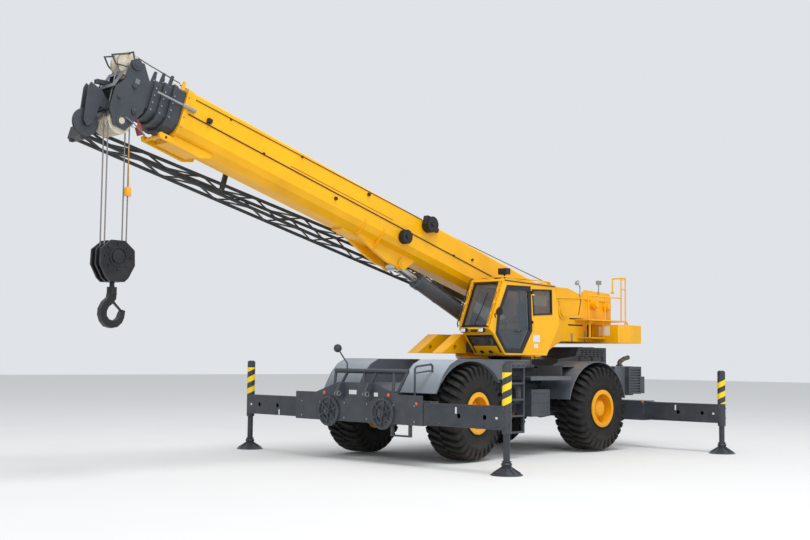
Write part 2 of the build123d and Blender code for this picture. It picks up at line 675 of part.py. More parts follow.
def drum(x, z, radius, flange):
    """A hoist drum between two flanges, on a stub shaft at each end."""
    body = pin_y(x, z, radius, (-480, 480))
    ends = pin_y(x, z, flange, (-515, -480)) + pin_y(x, z, flange, (480, 515))
    return body + ends + pin_y(x, z, 60, (-555, 555))


write("hoist_frame", hoist_frame())
for node, x, z, radius, flange in DRUMS:
    write(node, drum(x, z, radius, flange))


def platform():
    """The service platform beside the hoists, with steps, posts and guard rails."""
    tread = block((-3420, -1950), (SIDE_OUT, 1010), (2745, 2775))
    posts = [block((x, x + 20), (940, 980), (2380, 2745)) for x in (-2570, -2060)]
    step = block((-2570, -2040), (SIDE_OUT, 1010), (2360, 2385))
    guard = [rail([(-3230, 980, 2775), (-3230, 980, 3700)], 17),
             rail([(-3400, 980, 2775), (-3400, 980, 3740), (-3400, 640, 3740), (-3400, 640, 3440)], 17),
             rail([(-1980, 980, 2775), (-1980, 980, 3280), (-3230, 980, 3280)], 17),
             rod((-3230, 980, 3690), (-3400, 980, 3730), 17),
             rod((-3230, 980, 3480), (-3400, 980, 3480), 14),
             rod((-2600, 980, 2775), (-2600, 980, 3280), 14)]
    foot = block((-3430, -3380), (598, 660), (3400, 3445))
    return fuse([tread, step, foot] + posts + guard)


write("service_platform", platform())


# Cab

CAB_SIDE = [(1425, 3440), (1851, 2456), (1714, 2373), (1371, CAB_BOTTOM), (66, CAB_BOTTOM),
            (-366, 2593), (-211, 3396)]
DOOR_HOLE = [(1320, 3310), (600, 3320), (545, 2455), (850, 2020), (1365, 2020), (1655, 2374),
             (1600, 2760)]
REAR_SIDE_PANE = [(540, 3269), (-94, 3288), (-108, 2802), (500, 2763)]
RIGHT_PANE = [(1280, 3310), (20, 3300), (-120, 2640), (1620, 2520)]
# first corner of the edge, second corner, distance along it where the hole starts and ends
FRONT_PANES = [(0, 1, 75.0, 1010.0), (2, 3, 50.0, 450.0), (5, 6, 120.0, 740.0), (6, 0, 400.0, 1400.0)]


HINGE = (545.0, CAB_OUT + 18.0)
HINGE_ZS = (2560.0, 3150.0)


def edge_slab(first, second, start, end, near, far, y):
    """A slab along an edge of the cab's side outline, between two depths inside it."""
    ax, az = CAB_SIDE[first]
    bx, bz = CAB_SIDE[second]
    length = sqrt((bx - ax) ** 2 + (bz - az) ** 2)
    ux, uz = (bx - ax) / length, (bz - az) / length
    inward = (uz, -ux)
    corners = []
    for along, deep in ((start, near), (end, near), (end, far), (start, far)):
        corners.append((ax + ux * along + inward[0] * deep, az + uz * along + inward[1] * deep))
    return slab_y(corners, y)


def cab_shell():
    """A thick-walled shell with openings for the door and every pane."""
    outer = slab_y(CAB_SIDE, (CAB_IN, CAB_OUT))
    inner = slab_y(shifted(CAB_SIDE, CAB_WALL, True), (CAB_IN + CAB_WALL, CAB_OUT - CAB_WALL))
    shell = outer - inner
    for hole, y in ((DOOR_HOLE, CAB_OUT), (REAR_SIDE_PANE, CAB_OUT), (RIGHT_PANE, CAB_IN)):
        shell = shell - slab_y(hole, (y - CAB_WALL - 5, y + CAB_WALL + 5))
    for first, second, start, end in FRONT_PANES:
        shell = shell - edge_slab(first, second, start, end, -5, CAB_WALL + 5,
                                  (CAB_IN + 70, CAB_OUT - 70))
    for z in HINGE_ZS:
        lug = block((HINGE[0] - 45, HINGE[0]), (CAB_OUT, CAB_OUT + 30), (z, z + 30))
        shell = shell + lug + rod((*HINGE, z), (*HINGE, z + 30), 18)
        shell = shell + rod((*HINGE, z + 30), (*HINGE, z + 90), 10)
    return shell


def cab_glass():
    """Windscreen, lower front pane, rear, roof and side panes, each just clear of its frame."""
    panes = [slab_y(shifted(REAR_SIDE_PANE, -FIT, True), (CAB_OUT - CAB_PANE[1], CAB_OUT - CAB_PANE[0])),
             slab_y(shifted(RIGHT_PANE, -FIT, True), (CAB_IN + CAB_PANE[0], CAB_IN + CAB_PANE[1]))]
    for first, second, start, end in FRONT_PANES:
        panes.append(edge_slab(first, second, start + FIT, end - FIT, *CAB_PANE,
                               (CAB_IN + 70 + FIT, CAB_OUT - 70 - FIT)))
    return panes


def cab_door():
    """The door frame round its pane, with its handle."""
    frame = slab_y(shifted(DOOR_HOLE, -GAP, True), (CAB_OUT - CAB_WALL, CAB_OUT))
    frame = frame - slab_y(DOOR_PANE, (CAB_OUT - CAB_WALL - 5, CAB_OUT + 5))
    handle = block((575, 640), (CAB_OUT, CAB_OUT + 28), (2480, 2540))
    hinges = []
    for z in HINGE_ZS:
        strap = block((HINGE[0], HINGE[0] + 85), (CAB_OUT, CAB_OUT + 8), (z + 30 + FIT, z + 90))
        knuckle_ring = rod((*HINGE, z + 30 + FIT), (*HINGE, z + 90), 18)
        hinges.append(strap + knuckle_ring - rod((*HINGE, z), (*HINGE, z + 100), 10 + FIT))
    return fuse([frame, handle] + hinges)


DOOR_PANE = shifted(DOOR_HOLE, -GAP - 38, True)
write("cab_shell", cab_shell())
write("cab_glass", *cab_glass())
write("cab_door", cab_door())
write("cab_door_glass", slab_y(shifted(DOOR_PANE, -FIT, True),
                               (CAB_OUT - CAB_PANE[1], CAB_OUT - CAB_PANE[0])))


def operator_station():
    """A suspended seat on its box, two side consoles, pedals and a steering column."""
    box = block((180, 640), (820, 1180), (CAB_FLOOR, 2300))
    cushion = block((160, 700), (780, 1220), (2300, 2440))
    back = slab_y([(160, 2440), (300, 2440), (200, 3060), (80, 3040)], (790, 1210))
    arms = block((180, 620), (700, 778), (2440, 2640)) + block((180, 620), (1222, 1300), (2440, 2640))
    arms = arms + block((180, 300), (700, 780), (2300, 2440))
    arms = arms + block((180, 300), (1220, 1300), (2300, 2440))
    column = rod((1240, 1010, CAB_FLOOR + 20), (1130, 1010, 2560), 34)
    column = column + block((1170, 1300), (940, 1080), (CAB_FLOOR, CAB_FLOOR + 30))
    wheel = Pos(1115, 1010, 2620) * Rot(0, -12, 0) * Torus(180, 15)
    spokes = Pos(1115, 1010, 2615) * Rot(0, -12, 0) * Box(360, 30, 20)
    hub = rod((1132, 1010, 2550), (1115, 1010, 2630), 45)
    panel = block((1330, 1480), (700, 1340), (2300, 2480))
    panel = panel + block((1180, 1330), (1110, 1150), (CAB_FLOOR, 2400))
    panel = panel + block((1180, 1332), (860, 900), (CAB_FLOOR, 2400))
    return fuse([box, cushion, back, arms]), fuse([column, wheel, spokes, hub]), panel


write("operator_station", *operator_station())


# Lift cylinder

BRACKET = boom_point(BRACKET_X, BRACKET_Z)
LIFT_SPAN = (BRACKET[0] - LIFT_FOOT[0], BRACKET[1] - LIFT_FOOT[1])
LIFT_LENGTH = sqrt(LIFT_SPAN[0] ** 2 + LIFT_SPAN[1] ** 2)


def along_lift(distance, off=0.0):
    """A point on the lift cylinder's centre line, a distance from its foot pin."""
    ux = LIFT_SPAN[0] / LIFT_LENGTH
    uz = LIFT_SPAN[1] / LIFT_LENGTH
    return (LIFT_FOOT[0] + ux * distance - uz * off, 0, LIFT_FOOT[1] + uz * distance + ux * off)


def lift_barrel():
    """The cylinder barrel with its foot eye, end cap and gland."""
    tube = rod(along_lift(0), along_lift(BARREL_LENGTH), BARREL_R)
    eye = pin_y(LIFT_FOOT[0], LIFT_FOOT[1], BARREL_R + 10, (-185, 185))
    gland = rod(along_lift(BARREL_LENGTH - 120), along_lift(BARREL_LENGTH), BARREL_R + 14)
    bore = rod(along_lift(320), along_lift(BARREL_LENGTH - 90), BARREL_BORE)
    mouth = rod(along_lift(BARREL_LENGTH - 100), along_lift(BARREL_LENGTH + 10), ROD_R + FIT)
    whole = tube + eye + gland - bore - mouth
    return whole - pin_y(LIFT_FOOT[0], LIFT_FOOT[1], LIFT_PIN_R + FIT, (-300, 300))


def lift_rod():
    """The rod with its piston and the eye in the boom's bracket."""
    stem = rod(along_lift(1444), along_lift(LIFT_LENGTH), ROD_R)
    piston = rod(along_lift(1444), along_lift(1544), BARREL_BORE - FIT)
    eye = pin_y(BRACKET[0], BRACKET[1], 130, (-120, 120))
    hole = pin_y(BRACKET[0], BRACKET[1], 65, (-200, 200))
    return stem + piston + eye - hole


def lift_foot_pin():
    """The pin in the lift cylinder's foot, with a round head at each end."""
    pin = pin_y(LIFT_FOOT[0], LIFT_FOOT[1], LIFT_PIN_R, (-275, 275))
    heads = pin_y(LIFT_FOOT[0], LIFT_FOOT[1], LIFT_PIN_R + 20, (-290, -270 - FIT))
    heads = heads + pin_y(LIFT_FOOT[0], LIFT_FOOT[1], LIFT_PIN_R + 20, (270 + FIT, 290))
    return pin + heads


def boom_foot_pin():
    """The boom's pivot pin, with a round head outside each ear."""
    end = SIDE_OUT + 15 + FIT
    pin = pin_y(PIVOT[0], PIVOT[1], PIVOT_PIN_R, (-end - 20, end + 20))
    heads = pin_y(PIVOT[0], PIVOT[1], PIVOT_PIN_R + 30, (end, end + 20))
    return pin + both_sides(heads)


write("lift_barrel", lift_barrel())
write("lift_rod", lift_rod())
write("lift_foot_pin", lift_foot_pin())
write("boom_foot_pin", boom_foot_pin())


# Boom


def section_outline(level, inset=0.0):
    """The cross-section of a boom section in Y and Z, moved inwards at each level."""
    d = SECTION_STEP * level + inset
    half = SECTION_HALF - d
    top = SECTION_TOP - d
    right = [(half - 30, top), (half, top - 30), (half, -200 + d * 0.35), (half - 60, -308 + d * 0.8),
             (half * 0.42, -390 + d)]
    return right + [(-y, z) for y, z in reversed(right)]


def tube_section(level, rear, front):
    """One telescoping section: a thin-walled tube."""
    outer = slab_x(section_outline(level), (rear, front))
    return outer - slab_x(section_outline(level, SECTION_WALL), (rear - 1, front + 1))


def collar(level, front, horn):
    """The frame round a section's front end. It guides the next section, and has a horn on top."""
    ring = slab_x(section_outline(level, -16), (front - COLLAR_LENGTH, front))
    ring = ring - slab_x(section_outline(level + 1, -FIT), (front - 100, front + 10))
    top = SECTION_TOP - SECTION_STEP * level
    ears = []
    for side in (1, -1):
        y = sorted((side * 110, side * 150))
        ears.append(slab_y([(front - 60, top), (front - 60, horn), (front - 20, horn),
                            (front, top + 40), (front, top)], y))
    return fuse([ring] + ears)


def heel_pads(level, rear):
    """Wear pads round a section's rear end, which run inside the section outside it."""
    ring = slab_x(section_outline(level - 1, SECTION_WALL + FIT), (rear, rear + 90))
    return ring - slab_x(section_outline(level, 4), (rear - 10, rear + 100))


def boom_base():
    """The base section: pivot tube, lift bracket with curved ribs, top bracket and collar."""
    tube = tube_section(0, BASE_REAR, BASE_FRONT)
    back = slab_x(section_outline(0), (BASE_REAR, BASE_REAR + 20))
    boss = pin_y(0, 0, 140, (-494, 494))
    cheeks = both_sides(slab_y([(4250, -380), (4440, -600), (4560, -660), (4700, -620), (4900, -630),
                                (5250, -560), (6190, -300), (6250, -180), (4250, -180)], (140, 205)))
    ribs = []
    for x in (5350.0, 5850.0):
        low = -560 + (x - 5250) * 0.277
        rib = [(205, low), (205, -300), (SECTION_HALF - 5, -180), (SECTION_HALF + 30, -120),
               (SECTION_HALF + 30, -215), (300, -420)]
        ribs.append(both_sides(slab_x(rib, (x, x + 14))))
    web = block((5300, 6150), (-140, 140), (-430, -380))
    bosses = both_sides(pin_y(BRACKET_X, BRACKET_Z, 110, (135, 240)))
    stubs = both_sides(pin_y(BRACKET_X, BRACKET_Z, 64, (128, 250)))
    top = both_sides(block((8120, 8220), (120, 160), (SECTION_TOP, SECTION_TOP + 70)))
    lower = block((9490, 10340 - 250), (-180, 180), (-470, -388))
    whole = fuse([tube, back, boss, cheeks, web, bosses, stubs, top, lower] + ribs)
    whole = whole + collar(0, BASE_FRONT, 617)
    whole = whole - pin_y(0, 0, PIVOT_PIN_R + FIT, (-600, 600))
    inside = slab_x(section_outline(0, SECTION_WALL), (250, BASE_FRONT - COLLAR_LENGTH))
    return whole - inside


# level, rear end, collar front, horn height
SECTIONS = [(1, 350.0, 10347.0, 600.0),
            (2, 600.0, 10505.0, 570.0),
            (3, 850.0, 10655.0, 520.0)]
TIP_REAR = 1100.0


def tip_section():
    """The last section with its head: two side plates, shafts and the nose fork."""
    tube = tube_section(4, TIP_REAR, 10720)
    outline = [(10700, 284), (10735, 274), (10906, 499), (11129, 455), (11150, 100), (11260, -60),
               (11260, -420), (11120, -640), (10900, -640), (10790, -420), (10700, -254)]
    plates = both_sides(slab_y(outline, (225, 250)))
    cap = block((10700, 10735), (-240, 240), (-254, 284))
    fork = both_sides(slab_y([(11200, -300), (11370, -160), (11580, -115), (11600, -200),
                              (11520, -720), (11444, -780), (11370, -720), (11330, -400), (11200, -420)],
                             (60, 80)))
    fork_back = block((11200, 11260), (-225, 225), (-400, -300))
    shaft_ears = pin_y(*HEAD_SHEAVE, 90, (-262, -225)) + pin_y(*HEAD_SHEAVE, 90, (225, 262))
    tie = block((10850, 10900), (-225, 225), (-20, 20)) + block((11080, 11120), (-225, 225), (60, 100))
    whole = fuse([tube, heel_pads(4, TIP_REAR), plates, cap, fork, fork_back, shaft_ears, tie])
    for place, radius in ((HEAD_SHEAVE, 50), (IDLER, 40)):
        whole = whole - pin_y(*place, radius + FIT, (-400, 400))
    return whole - pin_y(*NOSE_SHEAVE, 35 + FIT, (-400, 400))


def sheave(x, z, radius, y, width=48.0):
    """A rope sheave: two flanges and a round groove."""
    half = width / 2
    profile = [(30, -half), (radius, -half), (radius, -half + 6), (radius - 26, -6),
               (radius - 26, 6), (radius, half - 6), (radius, half), (30, half)]
    return Pos(x, y, z) * spun(profile)


def sheave_set(place, radius, ys, shaft_r, shaft_half):
    """A row of sheaves on one shaft."""
    row = [sheave(place[0], place[1], radius, y) for y in ys]
    row.append(pin_y(place[0], place[1], shaft_r, (-shaft_half, shaft_half)))
    return fuse(row)


write("boom_base", in_boom(boom_base()))
for level, rear, front, horn in SECTIONS:
    shape = tube_section(level, rear, front) + heel_pads(level, rear) + collar(level, front, horn)
    write(f"boom_section_{level + 1}", in_boom(shape))
write("boom_tip_section", in_boom(tip_section()))
HEAD_ROW = (-180, -120, -60, 0, 60, 120, 180)
write("head_sheaves", in_boom(sheave_set(HEAD_SHEAVE, SHEAVE_R, HEAD_ROW, 50, 262)))
write("idler_sheaves", in_boom(sheave_set(IDLER, SHEAVE_R, (-90, 90), 40, 250)))
write("nose_sheave", in_boom(sheave_set(NOSE_SHEAVE, 215, (0,), 35, 80)))


def lattice_extension():
    """The stowed lattice extension on the boom's right side: four chords and their lacing."""
    y_out = -990.0
    y_in = -640.0
    chords = []
    ends = [(2400, -330, -20), (11100, -680, -560)]
    for y in (y_in, y_out):
        for row in (1, 2):
            chords.append(rod((ends[0][0], y, ends[0][row]), (ends[1][0], y, ends[1][row]), 30))
    lacing = []
    count = 15
    for k in range(count):
        t0 = k / count
        t1 = (k + 1) / count
        x0 = ends[0][0] + (ends[1][0] - ends[0][0]) * t0
        x1 = ends[0][0] + (ends[1][0] - ends[0][0]) * t1
        z0 = [ends[0][r] + (ends[1][r] - ends[0][r]) * t0 for r in (1, 2)]
        z1 = [ends[0][r] + (ends[1][r] - ends[0][r]) * t1 for r in (1, 2)]
        flip = k % 2
        for y in (y_in, y_out):
            lacing.append(rod((x0, y, z0[flip]), (x1, y, z1[1 - flip]), 15))
        for r in (0, 1):
            ya, yb = (y_in, y_out) if flip else (y_out, y_in)
            lacing.append(rod((x0, ya, z0[r]), (x1, yb, z1[r]), 15))
    hangers = [block((x, x + 90), (y_in - 10, -SECTION_HALF), (-140, -90)) for x in (3600, 8300)]
    hangers += [block((x, x + 90), (y_in - 20, y_in + 20), (z, -90))
                for x, z in ((3600, -160), (8300, -480))]
    foot = block((1500, 2460), (y_out - 20, y_out + 60), (-330, -100))
    foot = foot + block((1500, 2460), (y_in - 60, y_in + 20), (-330, -100))
    foot = foot + block((2340, 2460), (y_out, y_in), (-350, 10))
    head = block((11020, 11160), (y_out - 20, y_in + 20), (-720, -520))
    return fuse(chords + lacing + hangers + [foot, head])


write("lattice_extension", in_boom(lattice_extension()))


def reels():
    """Two cable reels on the boom's left side, with their guides and the work lamp."""
    y = SECTION_HALF
    low = pin_y(4840, -105, 130, (y + 20, y + 130)) + pin_y(4840, -105, 40, (y, y + 150))
    high = pin_y(4290, 353, 150, (y + 20, y + 170)) + pin_y(4290, 353, 45, (y, y + 190))
    high = high + block((4000, 4200), (y, y + 60), (300, 380))
    high = high + block((4180, 4450), (y + 30, y + 150), (300, 480))
    guides = [block((x - 25, x + 25), (y, y + 45), (z - 25, z + 25))
              for x, z in ((5920, 320), (6660, -60))]
    lamp = block((9560, 9640), (y, y + 60), (60, 130))
    return [low, high, lamp] + guides


write("boom_reels", *[in_boom(shape) for shape in reels()])


# Hook block, hung plumb from the head sheaves

HANG = boom_point(*HEAD_SHEAVE)
FALL_R = 11.0
BLOCK_TOP = 3620.0
BLOCK_BOTTOM = 2990.0
BLOCK_AXIS = 3370.0


def hoist_falls():
    """The rope falls between the head sheaves and the hook block."""
    falls = []
    for y in (HOOK_Y - 60, HOOK_Y + 60):
        for side in (-1, 1):
            x = HANG[0] + side * (SHEAVE_R - 12)
            falls.append(rod((x, y, BLOCK_AXIS), (x, y, HANG[1]), FALL_R))
    return falls


def hook_block():
    """Two cheek plates with weights, sheaves between them and the hook's crosshead."""
    x = HANG[0]
    outline = [(x - 120, BLOCK_TOP), (x + 120, BLOCK_TOP), (x + 290, 3480), (x + 300, 3250),
               (x + 190, 3050), (x + 120, BLOCK_BOTTOM), (x - 120, BLOCK_BOTTOM), (x - 190, 3050),
               (x - 300, 3250), (x - 290, 3480)]
    cheeks = [slab_y(outline, (HOOK_Y + a, HOOK_Y + b)) for a, b in ((-150, -110), (110, 150), (-18, 18))]
    row = [sheave(x, BLOCK_AXIS, SHEAVE_R, y) for y in (HOOK_Y - 60, HOOK_Y + 60)]
    shaft = pin_y(x, BLOCK_AXIS, 55, (HOOK_Y - 165, HOOK_Y + 165))
    head = block((x - 90, x + 90), (HOOK_Y - 110, HOOK_Y + 110), (BLOCK_BOTTOM, 3080))
    swivel = Pos(x, HOOK_Y, BLOCK_BOTTOM) * Cylinder(38 + FIT, 400)
    pocket = Pos(x, HOOK_Y, 3115) * Cylinder(75, 70)
    return fuse(cheeks + row + [shaft, head]) - swivel - pocket


def hook():
    """A forged single hook on its swivelling shank, with a nut above the crosshead."""
    x = HANG[0]
    shank = Pos(x, HOOK_Y, 2900) * Cylinder(38, 380)
    nut = Pos(x, HOOK_Y, 3110) * Cylinder(70, 59)
    collar_ring = Pos(x, HOOK_Y, 2860) * Cylinder(75, 110)
    outer = [(-60, 2830), (60, 2830), (70, 2760), (150, 2690), (205, 2590), (212, 2490), (175, 2390),
             (105, 2315), (10, 2290), (-90, 2310), (-165, 2375), (-200, 2450), (-215, 2560), (-165, 2575),
             (-135, 2520), (-110, 2455), (-60, 2415), (0, 2405), (60, 2425), (100, 2475), (102, 2545),
             (70, 2610), (0, 2665), (-50, 2730)]
    body = slab_y([(x + dx, z) for dx, z in outer], (HOOK_Y - 50, HOOK_Y + 50))
    latch = slab_y([(x - 25, 2712), (x - 5, 2690), (x - 157, 2550), (x - 175, 2565)],
                   (HOOK_Y - 20, HOOK_Y + 20))
    return fuse([shank, nut, collar_ring, body, latch])


write("hoist_falls", *hoist_falls())
write("hook_block", hook_block())
write("hook", hook())
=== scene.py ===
import math

import bmesh
import bpy
from mathutils import Matrix, Vector


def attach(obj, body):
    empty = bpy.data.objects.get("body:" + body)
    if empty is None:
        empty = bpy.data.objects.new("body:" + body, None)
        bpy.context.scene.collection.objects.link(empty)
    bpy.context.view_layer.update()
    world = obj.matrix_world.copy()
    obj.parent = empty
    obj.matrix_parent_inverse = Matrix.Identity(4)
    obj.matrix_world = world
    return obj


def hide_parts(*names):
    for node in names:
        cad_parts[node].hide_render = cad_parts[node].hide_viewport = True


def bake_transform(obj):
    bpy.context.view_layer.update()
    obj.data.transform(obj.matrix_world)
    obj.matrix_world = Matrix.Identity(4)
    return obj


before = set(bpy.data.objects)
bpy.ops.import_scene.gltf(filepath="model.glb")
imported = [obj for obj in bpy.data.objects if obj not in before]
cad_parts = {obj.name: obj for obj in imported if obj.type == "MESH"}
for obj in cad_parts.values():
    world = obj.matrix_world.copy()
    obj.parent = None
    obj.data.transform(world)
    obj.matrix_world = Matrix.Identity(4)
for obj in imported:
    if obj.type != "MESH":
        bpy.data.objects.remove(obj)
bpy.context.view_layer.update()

# Studio
# A pale floor that fades into a pale surround, lit by a wide soft lamp overhead and a weaker one
# from the side. The camera stands low at the front left, as it does in the photograph.
LENS = 51.31
SENSOR = 36.0
FAR_LIMIT = 500.0
CAMERA_PLACE = Vector((18.6488, 15.5179, 1.8626))
CAMERA_YAW = -2.3696
CAMERA_PITCH = 0.0774
CAMERA_ROLL = 0.0103
SURROUND_COLOUR = (0.93, 0.96, 1.0, 1)
SURROUND_STRENGTH = 0.80

ahead = Vector((math.cos(CAMERA_YAW) * math.cos(CAMERA_PITCH),
                math.sin(CAMERA_YAW) * math.cos(CAMERA_PITCH), math.sin(CAMERA_PITCH)))
level_right = Vector((math.sin(CAMERA_YAW), -math.cos(CAMERA_YAW), 0))
level_up = level_right.cross(ahead)
right = math.cos(CAMERA_ROLL) * level_right + math.sin(CAMERA_ROLL) * level_up
up = math.cos(CAMERA_ROLL) * level_up - math.sin(CAMERA_ROLL) * level_right
camera = bpy.data.objects.new("camera", bpy.data.cameras.new("camera"))
bpy.context.scene.collection.objects.link(camera)
camera.data.sensor_width = SENSOR
camera.data.lens = LENS
camera.data.clip_end = FAR_LIMIT
camera.matrix_world = Matrix.Translation(CAMERA_PLACE) @ Matrix((right, up, -ahead)).transposed().to_4x4()
bpy.context.scene.camera = camera

world = bpy.data.worlds.new("surround")
world.use_nodes = True
surround = world.node_tree.nodes["Background"]
surround.inputs["Color"].default_value = SURROUND_COLOUR
surround.inputs["Strength"].default_value = SURROUND_STRENGTH
bpy.context.scene.world = world
bpy.context.scene.view_settings.view_transform = "Standard"


def soft_lamp(name, place, aim, size, power):
    """A square lamp that shines from one point to another."""
    lamp = bpy.data.objects.new(name, bpy.data.lights.new(name, "AREA"))
    lamp.data.shape = "SQUARE"
    lamp.data.size = size
    lamp.data.energy = power
    lamp.location = place
    lamp.rotation_mode = "QUATERNION"
    lamp.rotation_quaternion = (Vector(aim) - Vector(place)).to_track_quat("-Z", "Y")
    bpy.context.scene.collection.objects.link(lamp)


soft_lamp("sky_lamp", (6, 10, 26), (3, 0, 3), 14, 4300)
soft_lamp("side_lamp", (16, 24, 12), (3, 0, 3), 10, 1500)


class Signal:
    """A number, colour or vector inside a material. Python's operators add Math nodes."""

    def __init__(self, finish, socket):
        self.finish = finish
        self.socket = socket

    def maths(self, operation, *values):
        return self.finish.node("ShaderNodeMath", {"operation": operation}, dict(enumerate(values)))

    def __add__(self, other):
        return self.maths("ADD", self, other)

    def __radd__(self, other):
        return self.maths("ADD", other, self)

    def __sub__(self, other):
        return self.maths("SUBTRACT", self, other)

    def __rsub__(self, other):
        return self.maths("SUBTRACT", other, self)

    def __mul__(self, other):
        return self.maths("MULTIPLY", self, other)

    def __rmul__(self, other):
        return self.maths("MULTIPLY", other, self)

    def __mod__(self, other):
        return self.maths("FLOORED_MODULO", self, other)

    def __gt__(self, other):
        return self.maths("GREATER_THAN", self, other)

    def __lt__(self, other):
        return self.maths("LESS_THAN", self, other)

    def __abs__(self):
        return self.maths("ABSOLUTE", self)


class Finish:
    """One material. What its surface shows is worked out with node(), and set with show()."""

    def __init__(self, name):
        self.material = bpy.data.materials.new(name)
        self.material.use_nodes = True
        self.tree = self.material.node_tree
        self.shader = self.tree.nodes["Principled BSDF"]
        self.place = self.node("ShaderNodeTexCoord", output="Object")

    def node(self, kind, settings=None, sockets=None, output=0):
        made = self.tree.nodes.new(kind)
        for key, value in (settings or {}).items():
            setattr(made, key, value)
        for key, value in (sockets or {}).items():
            self.feed(made.inputs[key], value)
        return Signal(self, made.outputs[output])

    def feed(self, socket, value):
        if isinstance(value, Signal):
            self.tree.links.new(value.socket, socket)
        else:
            socket.default_value = value

    def show(self, **values):
        for key, value in values.items():
            self.feed(self.shader.inputs[key.replace("_", " ")], value)
        return self

    def cloud(self, scale, detail=3.0, stretch=None):
        """Soft noise from 0 to 1."""
        place = self.place
        if stretch is not None:
            place = self.node("ShaderNodeVectorMath", {"operation": "MULTIPLY"}, {0: place, 1: stretch})
        return self.node("ShaderNodeTexNoise", None, {"Vector": place, "Scale": scale, "Detail": detail})

    def ramp(self, signal, low, high):
        """0 below one value, 1 above another."""
        return self.node("ShaderNodeMapRange", None, {0: signal, 1: low, 2: high})

    def mix(self, factor, first, second):
        return self.node("ShaderNodeMix", {"data_type": "RGBA"}, {0: factor, 6: first, 7: second}, 2)

    def axes(self):
        """The three parts of a point's place on the machine, in metres."""
        parts = self.tree.nodes.new("ShaderNodeSeparateXYZ")
        self.tree.links.new(self.place.socket, parts.inputs[0])
        return [Signal(self, output) for output in parts.outputs]

    def rounded(self, radius):
        """The normal with sharp edges rounded off."""
        return self.node("ShaderNodeBevel", {"samples": 4}, {"Radius": radius})

    def bump(self, height, distance, normal=None):
        sockets = {"Height": height, "Distance": distance, "Strength": 1.0}
        if normal is not None:
            sockets["Normal"] = normal
        return self.node("ShaderNodeBump", None, sockets)


def tint(code):
    """A colour from its screen value, such as 'f2b51c'."""
    parts = [int(code[k:k + 2], 16) / 255 for k in (0, 2, 4)]
    return (*[p / 12.92 if p < 0.04045 else ((p + 0.055) / 1.055) ** 2.4 for p in parts], 1.0)


def around(count, radius):
    """Evenly spaced places on a circle about the origin."""
    turns = [2 * math.pi * k / count for k in range(count)]
    return [(radius * math.cos(turn), radius * math.sin(turn)) for turn in turns]


